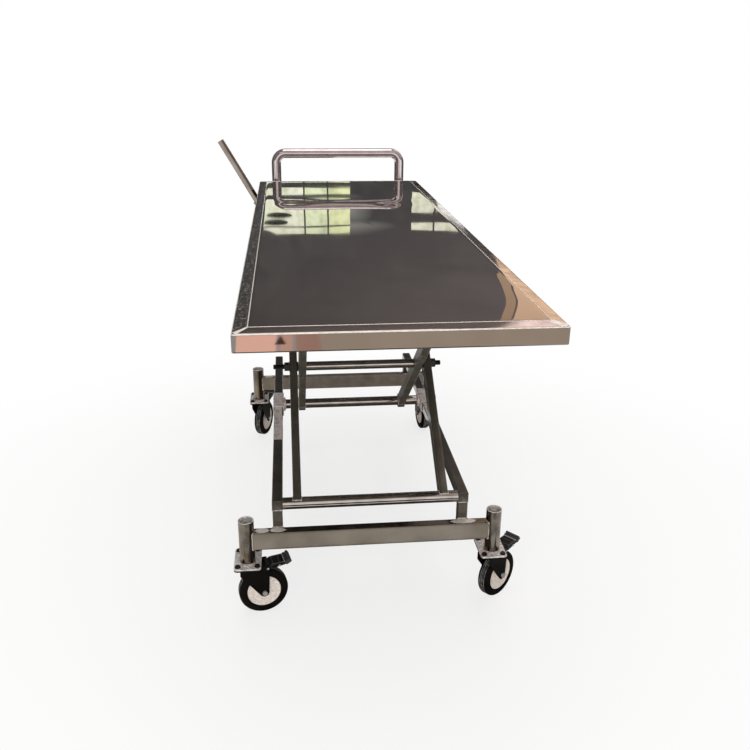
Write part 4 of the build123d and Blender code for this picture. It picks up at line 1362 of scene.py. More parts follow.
@dataclass
class Scissor:
    """Both pairs of legs, the tubes they turn on and the bolt they cross on."""

    rig: Rig
    leg_width: float = 24 * MM
    leg_depth: float = 40 * MM
    leg_wall: float = 2.5 * MM
    leg_corner: float = 3 * MM
    eye: float = 50 * MM
    eye_bore: float = 34.1 * MM
    cope: float = 17.2 * MM
    foot_bead: float = 1.9 * MM
    eye_bead: float = 1.5 * MM
    turning_wall: float = 6.9 * MM
    spacer_wall: float = 5.9 * MM
    rod: float = 16 * MM
    pitch: float = 2 * MM
    nut_flats: float = 24 * MM
    nut_height: float = 13 * MM
    washer: float = 30 * MM
    washer_ring: float = 6.9 * MM
    outer_washer: float = 3 * MM
    inner_washer: float = 3.5 * MM
    draw: random.Random = field(default_factory=lambda: random.Random(37))

    def build(self) -> None:
        """Make every piece of the crossed legs."""
        low_pivot, high_pivot = self.rig.pivot("lift"), self.rig.pivot("table_tilt")
        low_slide, high_slide = self.rig.pivot("lower_slide_turn"), self.rig.pivot("upper_slide_turn")
        self.build_pair("outer", low_pivot, high_slide)
        self.build_pair("inner", high_pivot, low_slide)
        tubes = (
            ("outer_foot_tube", "turning_foot_tube", TURNED_TUBE, self.turning_wall),
            ("inner_head_tube", "turning_head_tube", TURNED_TUBE, self.turning_wall),
            ("base_pivot_rod", "lower_pivot_rod", GROUND_ROD, 0.0),
            ("table_pivot_rod", "upper_pivot_rod", GROUND_ROD, 0.0),
            ("centre_spacer", "centre_spacer_tube", TURNED_TUBE, self.spacer_wall),
        )
        for row in tubes:
            self.build_tube(*row)
        self.build_centre()

    def build_pair(self, kind: str, weld: Vector, eye: Vector) -> None:
        """Make a left and a right leg.

        Args:
            kind: outer or inner.
            weld: the middle of the tube that the legs are welded to.
            eye: the middle of their eyes.
        """
        welds = Shape()
        for side in SIDES:
            node = f"{kind}_{side}_leg"
            low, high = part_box(node)
            x = (low.x + high.x) / 2
            start = Vector((x, weld.y, weld.z))
            end = Vector((x, eye.y, eye.z))
            basis = Basis.at(start, end - start, X_AXIS)
            length = (end - start).length
            section = boxed(self.leg_width, self.leg_depth, self.leg_corner, 6)

            def foot(u: float, v: float) -> float:
                """Give the end that is coped round the tube."""
                return math.sqrt(max(self.cope**2 - v**2, 0.0))

            def head(u: float, v: float) -> float:
                """Give the end that is coped round the eye."""
                return length - math.sqrt((self.eye / 2) ** 2 - v**2) + 0.6 * MM

            shape = Shape().bar(basis, section, foot, head, self.leg_wall, 0.05 * MM)
            across = Basis.at(end, X_AXIS, Y_AXIS)
            half, ease = self.leg_width / 2, 0.8 * MM
            outer, bore = self.eye / 2, self.eye_bore / 2
            ring = [(outer, half - ease), (outer - ease, half), (bore + ease, half), (bore, half - ease)]
            shape.turned(across, mirrored(ring))
            # The inner legs get the paler, less metallic copy of the drawn tube: painted light.
            finish = DRAWN_TUBE if kind == "outer" else OILED_TUBE
            self.rig.fit(shape, f"{kind}_{side}_leg_tube", finish, node)
            welds.seam(basis, section, foot, self.foot_bead, self.draw)
            welds.seam(basis, section, head, self.eye_bead, self.draw)
        self.rig.fit(welds, f"{kind}_leg_welds", WELD_METAL, f"{kind}_left_leg", instead=False)

    def build_tube(self, node: str, name: str, finish: Finish, wall: float) -> None:
        """Make a round tube or rod that lies across the trolley.

        Args:
            node: the CAD node it stands for.
            name: the piece's name.
            finish: its surface.
            wall: its wall, or nought for a rod.
        """
        low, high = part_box(node)
        basis = Basis.at((0, (low.y + high.y) / 2, (low.z + high.z) / 2), X_AXIS, Y_AXIS)
        shape = Shape().bar(basis, tube(high.y - low.y), low.x, high.x, wall, 0.9 * MM)
        self.rig.fit(shape, name, finish, node)

    def build_centre(self) -> None:
        """Make the screwed rod that the legs cross on, with its nuts and washers."""
        low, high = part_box("centre_rod")
        nut_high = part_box("centre_nuts")[1]
        centre = self.rig.pivot("leg_cross")
        basis = Basis.at((0, centre.y, centre.z), X_AXIS, Y_AXIS)
        face = nut_high.x - self.nut_height
        rod = Shape()
        rod.bar(basis, tube(self.rod), -face, face, lip=0.2 * MM)
        for start, end in ((low.x, -face), (face, high.x)):
            rod.thread(basis, self.rod, self.pitch, start, end)
        self.rig.fit(rod, "centre_screwed_rod", BLACK_ROD, "centre_rod")
        nuts = Shape()
        leg_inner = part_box("outer_right_leg")[0].x
        for sign in SIGNS:
            side = Basis.at(basis.origin, X_AXIS * sign, Vector((0, 0.94, 0.34)))
            nuts.nut(side, self.nut_flats, face, nut_high.x)
            for end, thick in ((face, self.outer_washer), (leg_inner, self.inner_washer)):
                nuts.bar(side, tube(self.washer), end - thick, end, self.washer_ring, 0.4 * MM)
        self.rig.fit(nuts, "centre_nuts_and_washers", BLACK_ROD, "centre_nuts")


@dataclass
class Slides:
    """The sleeves that ride on the rails and the tubes between them."""

    rig: Rig
    wall: float = 3.5 * MM
    corner: float = 3.6 * MM
    pad: float = 54 * MM
    pad_points: int = 72
    pad_margin: float = 0.6 * MM
    tube_wall: float = 3 * MM
    bead: float = 2.1 * MM
    draw: random.Random = field(default_factory=lambda: random.Random(41))

    def build(self) -> None:
        """Make the lower and the upper slide."""
        for level in ("lower", "upper"):
            self.build_slide(level)

    def build_slide(self, level: str) -> None:
        """Make two sleeves, their pads and their tube.

        Args:
            level: lower or upper.
        """
        tube_low, tube_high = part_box(f"{level}_cross_tube")
        middle = self.rig.pivot(f"{level}_slide_turn")
        welds = Shape()
        round_tube = tube(tube_high.y - tube_low.y)
        across = Basis.at((0, middle.y, middle.z), X_AXIS, Y_AXIS)
        for side, sign in SIDES.items():
            node = f"{side}_{level}_sleeve"
            low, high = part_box(node)
            size = high.z - low.z
            outside = max(abs(low.x), abs(high.x))
            inside = outside - size
            face = tube_high.x
            basis = Basis.at((sign * (outside - size / 2), 0, middle.z), Y_AXIS, X_AXIS)
            section = boxed(size, size, self.corner)
            shape = Shape().bar(basis, section, low.y, high.y, self.wall, 0.8 * MM)
            out = Basis.at(across.origin, X_AXIS * sign, Y_AXIS)
            flat = size / 2 - self.pad_margin
            disc = Section(Profile.ROUND, self.pad, steps=self.pad_points).outline()
            outline = [(u, min(max(v, -flat), flat)) for u, v in disc]
            shape.plate(out, outline, face, inside + 0.3 * MM)
            self.rig.fit(shape, f"{side}_{level}_slide_sleeve", POLISHED_SLEEVE, node, ease=0.7 * MM)
            welds.seam(out, round_tube, face - 0.4 * MM, self.bead, self.draw)
        node = f"{level}_cross_tube"
        shape = Shape().bar(across, round_tube, tube_low.x, tube_high.x, self.tube_wall, 0.2 * MM)
        self.rig.fit(shape, f"{level}_slide_tube", TURNED_TUBE, node)
        self.rig.fit(welds, f"{level}_slide_welds", WELD_METAL, node, instead=False)


@dataclass
class Drive:
    """The ram, the hand pump, its lever and its release valve."""

    rig: Rig
    ram_bore: float = 16.2 * MM
    ram_tail: float = 15 * MM
    ram_port: float = 4.2 * MM
    beam_corner: float = 3.5 * MM
    block_depth: float = 58 * MM
    screw_places: tuple[float, ...] = (-0.205, -0.02, 0.022)
    screw_inset: float = 16 * MM
    screw_sizes: tuple[float, ...] = (20 * MM, 1.8 * MM, 13 * MM, 8 * MM)
    plug_place: float = -0.06
    plug_sizes: tuple[float, ...] = (26 * MM, 2.2 * MM, 19 * MM, 11 * MM)
    sunk: float = 0.5 * MM
    lever_diameter: float = 25 * MM
    lever_wall: float = 2 * MM
    lever_start: float = 30 * MM
    lever_reach: float = 379 * MM
    lever_lean: float = math.radians(29.8)

    def build(self) -> None:
        """Make every piece of the drive."""
        self.build_ram()
        self.build_pump()
        self.build_lever()

    def eased(self, node: str, name: str, finish: Finish, ease: float) -> None:
        """Make a piece from a CAD node's own shape, with its edges rounded this far."""
        self.rig.fit(Shape().copied(node), name, finish, node, ease=ease)

    def build_ram(self) -> None:
        """Make the ram's barrel, rod and thrust beam."""
        low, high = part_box("ram_barrel")
        beam_low, beam_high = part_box("ram_crossbeam")
        middle_z = (low.z + high.z) / 2
        basis = Basis.at((0, 0, middle_z), Y_AXIS, X_AXIS)
        outer, bore, tail, port = (high.x - low.x) / 2, self.ram_bore, self.ram_tail, self.ram_port
        near, back = low.y, beam_low.y
        profile = [
            (bore, near), (outer - 2 * MM, near), (outer, near + 2 * MM), (outer, near + 22 * MM),
            (outer - 1.5 * MM, near + 24 * MM), (outer - 3 * MM, near + 25 * MM),
            (outer - 3 * MM, back - 18 * MM), (outer - 1 * MM, back - 16 * MM),
            (outer, back - 14 * MM), (outer, back - 1 * MM), (outer - 1 * MM, back),
            (tail, back), (tail, high.y), (port, high.y), (port, back - 10 * MM),
            (bore, back - 14 * MM),
        ]
        shape = Shape().turned(basis, profile)
        self.rig.fit(shape, "ram_cylinder", RAM_PAINT, "ram_barrel")
        self.eased("ram_rod", "ram_rod_and_yoke", GROUND_ROD, 1.0 * MM)
        middle_y = (beam_low.y + beam_high.y) / 2
        across = Basis.at((0, middle_y, middle_z), X_AXIS, Y_AXIS)
        section = boxed(beam_high.y - beam_low.y, beam_high.z - beam_low.z, self.beam_corner)
        beam = Shape().bar(across, section, beam_low.x, beam_high.x, lip=1.4 * MM)
        self.rig.fit(beam, "ram_thrust_beam", DRAWN_TUBE, "ram_crossbeam")

    def build_pump(self) -> None:
        """Make the pump block with its plugs, the plunger and the release valve."""
        self.eased("pump_body", "pump_block", CAST_PUMP, 2.2 * MM)
        self.eased("pump_plunger", "pump_plunger_rod", GROUND_ROD, 0.8 * MM)
        self.eased("release_valve", "release_valve_bar", RAM_PAINT, 0.9 * MM)
        low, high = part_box("pump_body")
        back = low.y + self.block_depth - self.sunk
        heads = []
        for x in self.screw_places:
            for z in (low.z + self.screw_inset, high.z - self.screw_inset):
                heads.append((Basis.at((x, back, z), Y_AXIS, X_AXIS), self.screw_sizes, 0.4 * MM))
        top = (self.plug_place, low.y + self.block_depth / 2, high.z - self.sunk)
        heads.append((Basis.at(top, Z_AXIS, X_AXIS), self.plug_sizes, 0.5 * MM))
        screws = Shape()
        for spot, (washer, thick, flats, height), lip in heads:
            screws.bar(spot, tube(washer), 0.0, thick, lip=lip)
            screws.nut(spot, flats, thick, height)
        self.rig.fit(screws, "pump_screws", ZINC_FASTENER, "pump_body", instead=False)

    def build_lever(self) -> None:
        """Make the lever tube and the socket it stands in."""
        self.eased("lever_socket", "lever_socket_and_crank", RAM_PAINT, 0.9 * MM)
        pivot = self.rig.pivot("lever_stroke")
        along = Vector((-math.sin(self.lever_lean), 0, math.cos(self.lever_lean)))
        basis = Basis.at(pivot, along, Y_AXIS)
        section = tube(self.lever_diameter)
        shape = Shape().bar(basis, section, self.lever_start, self.lever_reach, self.lever_wall, 0.6 * MM)
        self.rig.fit(shape, "pump_lever_tube", LEVER_TUBE, "pump_lever")


@dataclass
class Caster:
    """One braked swivel caster."""

    rig: Rig
    corner: str
    trail: float = 40 * MM
    crown_drop: float = 12.8 * MM
    crown_front: float = 38 * MM
    crown: float = 5 * MM
    cheek: float = 21 * MM
    plate: float = 3 * MM
    back: float = 28 * MM
    front: float = 57 * MM
    skirt: float = 24 * MM
    eye: float = 14 * MM
    wheel_radius: float = 72 * MM
    core_radius: float = 49.5 * MM
    tyre_half: float = 18 * MM
    shoulder: float = 9.5 * MM
    groove: float = 1 * MM
    dust: tuple[Pair, ...] = (
        (-3.2 * MM, -0.8 * MM), (1.4 * MM, 3.0 * MM), (-8.3 * MM, -6.2 * MM), (6.2 * MM, 8.3 * MM),
    )
    dust_skin: float = 0.12 * MM
    disc: float = 15.2 * MM
    rim_face: float = 16.4 * MM
    hub: float = 20 * MM
    wheel_steps: int = 96
    axle: float = 10 * MM
    axle_flats: float = 13 * MM
    nut_height: float = 7 * MM
    thread_pitch: float = 1.5 * MM
    thread_reach: float = 9 * MM
    kingpin: float = 12 * MM
    kingpin_flats: float = 19 * MM
    pedal_rise: float = math.radians(11)
    pedal_under: float = 6 * MM
    neck: float = 18 * MM
    flare: float = 9.5 * MM
    shoulder_run: float = 1 * MM
    pad: float = 24 * MM
    pad_start: float = 56 * MM
    pad_length: float = 18 * MM
    pad_lean: float = math.radians(20)
    ribs: Pair = (20.25 * MM, 39.25 * MM)
    rib_width: float = 2.5 * MM
    pedal_pin: float = 7.6 * MM
    pedal_boss: float = 12 * MM
    rivet_place: float = 37 * MM

    def __post_init__(self) -> None:
        """Read the caster's place and heading from the frame."""
        axis = self.rig.axis(f"{self.corner}_wheel_roll")
        self.heading = Z_AXIS.cross(axis)
        pin = self.rig.pivot(f"{self.corner}_swivel_turn")
        self.upright = Basis.at((pin.x, pin.y, 0), axis, self.heading)
        self.level = Basis.at((pin.x, pin.y, 0), Z_AXIS, self.heading)
        self.wheel = Basis.at(self.rig.pivot(f"{self.corner}_wheel_roll"), axis, self.heading)
        self.kingpin_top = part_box(f"{self.corner}_fork")[1].z
        self.crown_top = self.kingpin_top - self.crown_drop

    def build(self) -> None:
        """Make the caster's pieces."""
        self.build_fork()
        self.build_tyre()
        self.build_centre()
        self.build_axle()
        self.build_pedal()
        self.build_pins()

    def fit(self, shape: Shape, name: str, finish: Finish, node: str, **more: Any) -> None:
        """Make a piece of this corner's caster."""
        self.rig.fit(shape, f"{self.corner}_{name}", finish, f"{self.corner}_{node}", **more)

    def cheek_outline(self) -> Outline:
        """Give the side of the fork: a skirt that narrows to the axle's eye.

        Returns:
            Points along its heading and their heights.
        """
        top, low = self.crown_top, self.crown_top - self.skirt
        eye = (self.trail, self.wheel.origin.z)
        points: Outline = [(-self.back, top), (-self.back, low)]
        start = self.touch((-self.back, low), eye, -1)
        end = self.touch((self.front, low), eye, 1)
        if end < start:
            end += math.tau
        for k in range(17):
            turn = start + (end - start) * k / 16
            points.append((eye[0] + self.eye * math.cos(turn), eye[1] + self.eye * math.sin(turn)))
        points += [(self.front, low), (self.front, top)]
        return points

    def touch(self, point: Pair, eye: Pair, side: int) -> float:
        """Give the angle at which a line from a point touches the eye.

        Args:
            point: where the line starts.
            eye: the eye's middle.
            side: which of the two lines, minus one or one.

        Returns:
            The angle about the eye.
        """
        u, v = point[0] - eye[0], point[1] - eye[1]
        return math.atan2(v, u) - side * math.acos(self.eye / math.hypot(u, v))

    def build_fork(self) -> None:
        """Make the pressed fork with its ball race and kingpin nut."""
        outline = self.cheek_outline()
        fork = Shape()
        for low in (self.cheek, -self.cheek - self.plate):
            fork.plate(self.upright, outline, low, low + self.plate)
        top, crown = self.crown_top, self.crown
        along = Basis.at(self.level.point(0, 0, top - crown / 2), self.heading, self.upright.along)
        width = 2 * (self.cheek + self.plate)
        fork.bar(along, boxed(width, crown, 2.4 * MM), -self.back, self.crown_front, lip=0.8 * MM)
        pin = self.kingpin / 2
        race = [
            (pin, top - 0.4 * MM), (25 * MM, top - 0.4 * MM), (27.6 * MM, top + 0.6 * MM),
            (28 * MM, top + 1.8 * MM), (26.8 * MM, top + 3 * MM), (pin, top + 3 * MM),
        ]
        fork.turned(self.level, race)
        fork.bar(self.level, tube(self.kingpin), top - 1 * MM, self.kingpin_top, lip=0.5 * MM)
        nut_low = top - crown - self.nut_height
        fork.nut(self.level, self.kingpin_flats, nut_low, top - crown + 0.2 * MM)
        self.fit(fork, "swivel_fork", BLACK_STEEL, "fork", ease=0.7 * MM)

    def build_tyre(self) -> None:
        """Make the tyre, with two grooves in its tread and grey bands along its running edges: dust and
        painted sheen.
        """
        out, inn, half = self.wheel_radius, self.core_radius + 0.1 * MM, self.tyre_half
        side = [
            (inn, half - 1.8 * MM), (inn + 1.2 * MM, half - 0.8 * MM), (inn + 3 * MM, half - 0.2 * MM),
            (inn + 6 * MM, half),
        ]
        for k in range(7):
            turn = math.pi / 2 * k / 6
            radius = out - self.shoulder * (1 - math.sin(turn))
            side.append((radius, half - self.shoulder * (1 - math.cos(turn))))
        floor = out - self.groove
        side += [(out, 5.6 * MM), (floor, 5.2 * MM), (floor, 4.0 * MM), (out, 3.6 * MM)]
        tyre = Shape().turned(self.wheel, mirrored(side), steps=self.wheel_steps)
        self.fit(tyre, "wheel_tyre", BLACK_RUBBER, "tyre")

        # Grey bands on the tread: dust, and painted sheen where the ribs catch light.
        dust = Shape()
        low, high = out - self.dust_skin, out + self.dust_skin
        for start, end in self.dust:
            band = [(low, start), (high, start), (high, end), (low, end)]
            dust.turned(self.wheel, band, steps=self.wheel_steps)
        self.fit(dust, "tyre_dust_and_sheen", DUSTY_RUBBER, "tyre", instead=False)

    def build_centre(self) -> None:
        """Make the wheel centre: a flat disc with a raised rim and a hub."""
        rim, disc, raised, hub = self.core_radius, self.disc, self.rim_face, self.hub
        face = [
            (rim, disc), (rim - 1.2 * MM, raised), (rim - 3.4 * MM, raised), (rim - 4.4 * MM, 15.4 * MM),
            (rim - 6 * MM, disc), (24 * MM, 14.8 * MM), (18 * MM, 15.0 * MM), (15 * MM, raised),
            (14.4 * MM, 19.2 * MM), (13.6 * MM, hub), (self.axle / 2 + 0.3 * MM, hub),
        ]
        core = Shape().turned(self.wheel, mirrored(face), steps=self.wheel_steps)
        self.fit(core, "wheel_centre", PALE_NYLON, "core")

    def build_axle(self) -> None:
        """Make the axle bolt with its nut."""
        outside = self.cheek + self.plate
        shape = Shape()
        back = Basis.at(self.wheel.origin, -self.wheel.along, self.heading)
        shape.bar(self.wheel, tube(self.axle), -outside - 1 * MM, outside + 1 * MM, lip=0.3 * MM)
        for end in (self.wheel, back):
            shape.nut(end, self.axle_flats, outside, outside + self.nut_height)
        shape.thread(back, self.axle, self.thread_pitch, outside, outside + self.thread_reach)
        self.fit(shape, "axle_bolt", ZINC_FASTENER, "axle")

    def tread(self) -> Basis:
        """Give the pedal's plane.

        Returns:
            A basis along its arm, across it and square to its face.
        """
        pivot = self.rig.pivot(f"{self.corner}_brake_press")
        rise, run = math.sin(self.pedal_rise), math.cos(self.pedal_rise)
        return Basis.at(pivot, Z_AXIS * run - self.heading * rise, self.heading * run + Z_AXIS * rise)

    def arm_half(self, u: float) -> float:
        """Give half the pedal arm's width at a length from its pin."""
        share = min(max((u - self.flare) / self.shoulder_run, 0.0), 1.0)
        return self.neck + (self.pad - 1 * MM - self.neck) * share

    def arm_top(self, u: float) -> float:
        """Give the height of the pedal arm's arched back.

        Args:
            u: a length from its pin.

        Returns:
            The height there.
        """
        share = min(max(u / self.pad_start, 0.0), 1.0)
        knuckle = max(1 - abs(u - 4 * MM) / (8 * MM), 0.0)
        return 3 * MM + 5 * MM * math.cos(math.pi / 2 * share) + 3.5 * MM * knuckle

    def build_pedal(self) -> None:
        """Make the brake pedal: an arched arm with ribs across it, and a grooved pad that leans back."""
        plan = self.tread()
        start, pad, under = self.pad_start, self.pad, self.pedal_under
        shape = Shape()
        rings = []
        for k in range(31):
            u = -8 * MM + (start + 10 * MM) * k / 30
            top = self.arm_top(u)
            outline = boxed(2 * self.arm_half(u), top + under, 2.2 * MM).outline()
            rings.append([plan.point(u, v, w + (top - under) / 2) for v, w in outline])
        shape.skin(rings, capped=True)
        half = pad - 5 * MM
        for at in self.ribs:
            rib = Basis.at(plan.point(at, 0, self.arm_top(at)), plan.up, plan.across)
            shape.bar(rib, boxed(self.rib_width, 2.4 * MM, 0.7 * MM), -half, half, lip=0.5 * MM)
        for side in SIGNS:
            path = [(u * MM, self.arm_top(u * MM)) for u in range(16, 53, 4)]
            strip = [(u, w + 1.3 * MM) for u, w in path] + [(u, w - 1 * MM) for u, w in reversed(path)]
            edge = Basis.at(plan.origin, plan.up * side, plan.across)
            sign = 1 if edge.up.dot(plan.along) > 0 else -1
            shape.plate(edge, [(u, sign * w) for u, w in strip], pad - 5.4 * MM, pad - 2.6 * MM)
        ahead = plan.across * math.cos(self.pad_lean) + plan.along * math.sin(self.pad_lean)
        square = plan.along * math.cos(self.pad_lean) - plan.across * math.sin(self.pad_lean)
        root = plan.point(start, 0, -3 * MM)
        bars = [(self.pad_length / 2, 0.0, self.pad_length, 11 * MM, pad)]
        for at in (4.2 * MM, self.pad_length - 4.2 * MM):
            bars.append((at, 6.2 * MM, 7 * MM, 5 * MM, pad - 0.6 * MM))
        for at, rise, length, height, half in bars:
            middle = Basis.at(root + ahead * at + square * rise, plan.up, ahead)
            shape.bar(middle, boxed(length, height, 1.6 * MM), -half, half, lip=1.3 * MM)
        across = Basis.at(plan.origin, plan.up, plan.across)
        for diameter, half in ((self.pedal_boss, 20 * MM), (self.pedal_pin, 24.6 * MM)):
            shape.bar(across, tube(diameter), -half, half, lip=0.6 * MM)
        self.fit(shape, "brake_pedal", BLACK_NYLON, "pedal")

    def build_pins(self) -> None:
        """Make the pedal's side rivets, the fork's rivets before them and a bright wire along the pad's step,
        which stands for the highlight on that edge: painted highlight.
        """
        plan = self.tread()
        pins, rivets = Shape(), Shape()
        head = [(3.3 * MM, 0.0), (3.3 * MM, 1.6 * MM), (2.6 * MM, 2.5 * MM), (1.2 * MM, 2.9 * MM)]
        height = self.rig.pivot(f"{self.corner}_brake_press").z + 0.5 * MM
        arm = plan.point(self.rivet_place, 0, -2.4 * MM)
        skirt = self.level.point(self.front - 4 * MM, 0, height)
        for sign in SIGNS:
            side = Basis.at(arm, plan.up * sign, plan.across)
            cheek = Basis.at(skirt, self.upright.along * sign, self.heading)
            outside = self.cheek + self.plate
            for shape, spot, face in ((pins, side, self.pad - 1.6 * MM), (rivets, cheek, outside - 0.6 * MM)):
                shape.turned(spot, [(radius, face + w) for radius, w in head], looped=False, steps=24)
        # A bright zinc wire across the pedal's step, where there is only a highlight: painted highlight.
        wire = Basis.at(plan.point(self.pad_start - 2.6 * MM, 0, 4.4 * MM), plan.up, plan.across)
        pins.bar(wire, tube(2.4 * MM), 2 * MM - self.pad, self.pad - 2 * MM, lip=0.4 * MM)
        self.fit(pins, "pedal_pins_and_highlight_wire", ZINC_FASTENER, "pedal", instead=False)
        self.fit(rivets, "fork_rivets", ZINC_FASTENER, "fork", instead=False)


class Board(Enum):
    """Outlines of the studio's boards."""

    PLAIN = "four corners"
    OVAL = "oval"
    PEAK = "three corners"


@dataclass(frozen=True)
class Card:
    """A glowing or coloured board of the studio, seen only in the trolley's polish."""

    name: str
    corner: Triple
    across: Triple
    up: Triple
    colour: str
    strength: float
    shape: Board = Board.PLAIN
    leaves: bool = False
    fades: bool = False


@dataclass(frozen=True)
class Lamp:
    """A soft light of the studio, which hangs at a place and looks at another."""

    name: str
    place: Triple
    target: Triple
    size: Pair
    power: float
    mirrored: bool = False


@dataclass
class Studio:
    """Floor, backdrop, lamps, boards and camera."""

    lens: float = 39.208
    sensor: float = 36.0
    clip: Pair = (0.05, 200.0)
    camera_place: Triple = (-0.21141, -2.47653, 1.53084)
    yaw: float = math.radians(6.138)
    pitch: float = math.radians(21.239)
    roll: float = math.radians(0.557)
    white: str = "#ffffff"
    room: str = "#636161"
    far_room: str = "#525151"
    lit_room: str = "#958b8a"
    dusk: str = "#3d3c3a"
    cloud: str = "#8d8987"
    cloud_scale: float = 15.0
    floor_size: float = 40.0
    floor_paint: str = "#f6f5f3"
    floor_glow: float = 0.75
    shadow_reach: float = 0.7
    white_reach: float = 2.1
    back_wall: float = 2.6
    ground: float = 0.003
    leaf: str = "#a9b08a"
    leaf_scale: float = 24.0
    lamps: tuple[Lamp, ...] = (
        Lamp("overhead", (0.0, 0.0, 3.8), (0.0, 0.0, 0.0), (4.2, 5.0), 110.0),
        Lamp("fill", (-0.8, -4.8, 2.2), (0.0, 0.0, 0.4), (4.2, 2.6), 150.0),
        Lamp("softbox", (0.0, 1.1, 3.6), (0.0, 1.1, 0.0), (1.5, 1.8), 16.6, mirrored=True),
    )

    def build(self) -> None:
        """Set the scene round the trolley."""
        bpy.context.scene.view_settings.view_transform = "Standard"
        self.build_camera()
        self.build_world()
        self.build_floor()
        self.build_lamps()
        for card in self.cards():
            self.build_card(card)

    def build_camera(self) -> None:
        """Stand the camera where the photograph was taken from."""
        data = bpy.data.cameras.new("camera")
        data.lens, data.sensor_width = self.lens, self.sensor
        data.clip_start, data.clip_end = self.clip
        camera = bpy.data.objects.new("camera", data)
        heading = Matrix.Rotation(-self.yaw, 4, "Z")
        tilt = Matrix.Rotation(math.pi / 2 - self.pitch, 4, "X")
        turn = Matrix.Rotation(self.roll, 4, "Z")
        camera.matrix_world = Matrix.Translation(self.camera_place) @ heading @ tilt @ turn
        bpy.context.scene.collection.objects.link(camera)
        bpy.context.scene.camera = camera

    def stand(
        self, name: str, corners: Sequence[Sequence[float]], made: bpy.types.Material
    ) -> bpy.types.Object:
        """Stand up one flat face that isn't part of the trolley.

        Args:
            name: its name.
            corners: its outline.
            made: its material.

        Returns:
            The object.
        """
        mesh = bpy.data.meshes.new(name)
        mesh.from_pydata(corners, [], [tuple(range(len(corners)))])
        mesh.materials.append(made)
        board = bpy.data.objects.new(name, mesh)
        bpy.context.scene.collection.objects.link(board)
        return board

    def build_world(self) -> None:
        """Make a white backdrop, with a dim room above the horizon for the metal to show."""
        world = bpy.data.worlds.new("studio")
        bpy.context.scene.world = world
        world.use_nodes = True
        tree = world.node_tree
        tree.nodes.clear()
        direction = add_node(tree, "TexCoord")["Generated"]
        parts = add_node(tree, "SeparateXYZ", inputs={"Vector": direction})
        clouds = {"Vector": direction, "Scale": self.cloud_scale, "Detail": 2.0, "Distortion": 1.0}
        drift = add_node(tree, "TexNoise", inputs=clouds)["Fac"]
        spans = (
            (parts["Z"], 0.09, 0.03, 1.0),
            (parts["Z"], 0.15, 0.30, 1.0),
            (parts["X"], -0.1, 0.3, 1.0),
            (parts["X"], -0.15, -0.35, 1.0),
            (drift, 0.45, 0.75, 0.25),
        )
        shares = []
        for value, start, full, most in spans:
            span = {"Value": value, "From Min": start, "From Max": full, "To Max": most}
            shares.append(add_node(tree, "MapRange", inputs=span)["Result"])
        below, upward, rightward, leftward, haze = shares
        lit = add_node(tree, "Math", {"operation": "MULTIPLY"}, {0: rightward, 1: upward})[0]
        layers = (
            (upward, self.room),
            (lit, self.lit_room),
            (leftward, self.dusk),
            (haze, self.cloud),
            (below, self.white),
            (add_node(tree, "LightPath")["Is Camera Ray"], self.white),
        )
        colour: Any = linear(self.far_room)
        for share, tint in layers:
            colour = add_node(tree, "Mix", {"data_type": "RGBA"}, {0: share, 6: colour, 7: linear(tint)})[2]
        light = add_node(tree, "Background", inputs={"Color": colour, "Strength": 1.0})
        add_node(tree, "OutputWorld", inputs={"Surface": light["Background"]})

    def build_floor(self) -> None:
        """Make a pale floor that keeps the shadow and runs out into white."""
        half = self.floor_size / 2
        corners = [(-half, -half, 0), (half, -half, 0), (half, half, 0), (-half, half, 0)]
        material = bpy.data.materials.new("painted_board_matt_white")
        material.use_nodes = True
        tree = material.node_tree
        tree.nodes.clear()
        place = add_node(tree, "TexCoord")["Object"]
        away = add_node(tree, "VectorMath", {"operation": "LENGTH"}, {0: place})["Value"]
        smooth = {"interpolation_type": "SMOOTHSTEP"}
        span = {"Value": away, "From Min": self.shadow_reach, "From Max": self.white_reach}
        far = add_node(tree, "MapRange", smooth, {**span, "To Min": self.floor_glow})["Result"]
        path = add_node(tree, "LightPath")
        shown = path["Is Camera Ray"]
        for kind in ("Is Glossy Ray", "Is Transmission Ray"):
            shown = add_node(tree, "Math", {"operation": "MAXIMUM"}, {0: shown, 1: path[kind]})[0]
        share = add_node(tree, "Math", {"operation": "MULTIPLY"}, {0: far, 1: shown})[0]
        paint = {"Base Color": linear(self.floor_paint), "Roughness": 0.9, "Specular IOR Level": 0.1}
        board = add_node(tree, "BsdfPrincipled", inputs=paint)["BSDF"]
        white = add_node(tree, "Emission", inputs={"Color": linear(self.white), "Strength": 1.0})[0]
        surface = add_node(tree, "MixShader", inputs={0: share, 1: board, 2: white})[0]
        add_node(tree, "OutputMaterial", inputs={"Surface": surface})
        self.stand("studio_floor", corners, material)

    def build_lamps(self) -> None:
        """Hang the soft lights."""
        for lamp in self.lamps:
            data = bpy.data.lights.new(lamp.name, "AREA")
            data.shape = "RECTANGLE"
            data.size, data.size_y = lamp.size
            data.energy = lamp.power
            light = bpy.data.objects.new(lamp.name, data)
            light.location = lamp.place
            aim = Vector(lamp.target) - Vector(lamp.place)
            light.rotation_euler = aim.to_track_quat("-Z", "Y").to_euler()
            light.visible_glossy = lamp.mirrored
            bpy.context.scene.collection.objects.link(light)

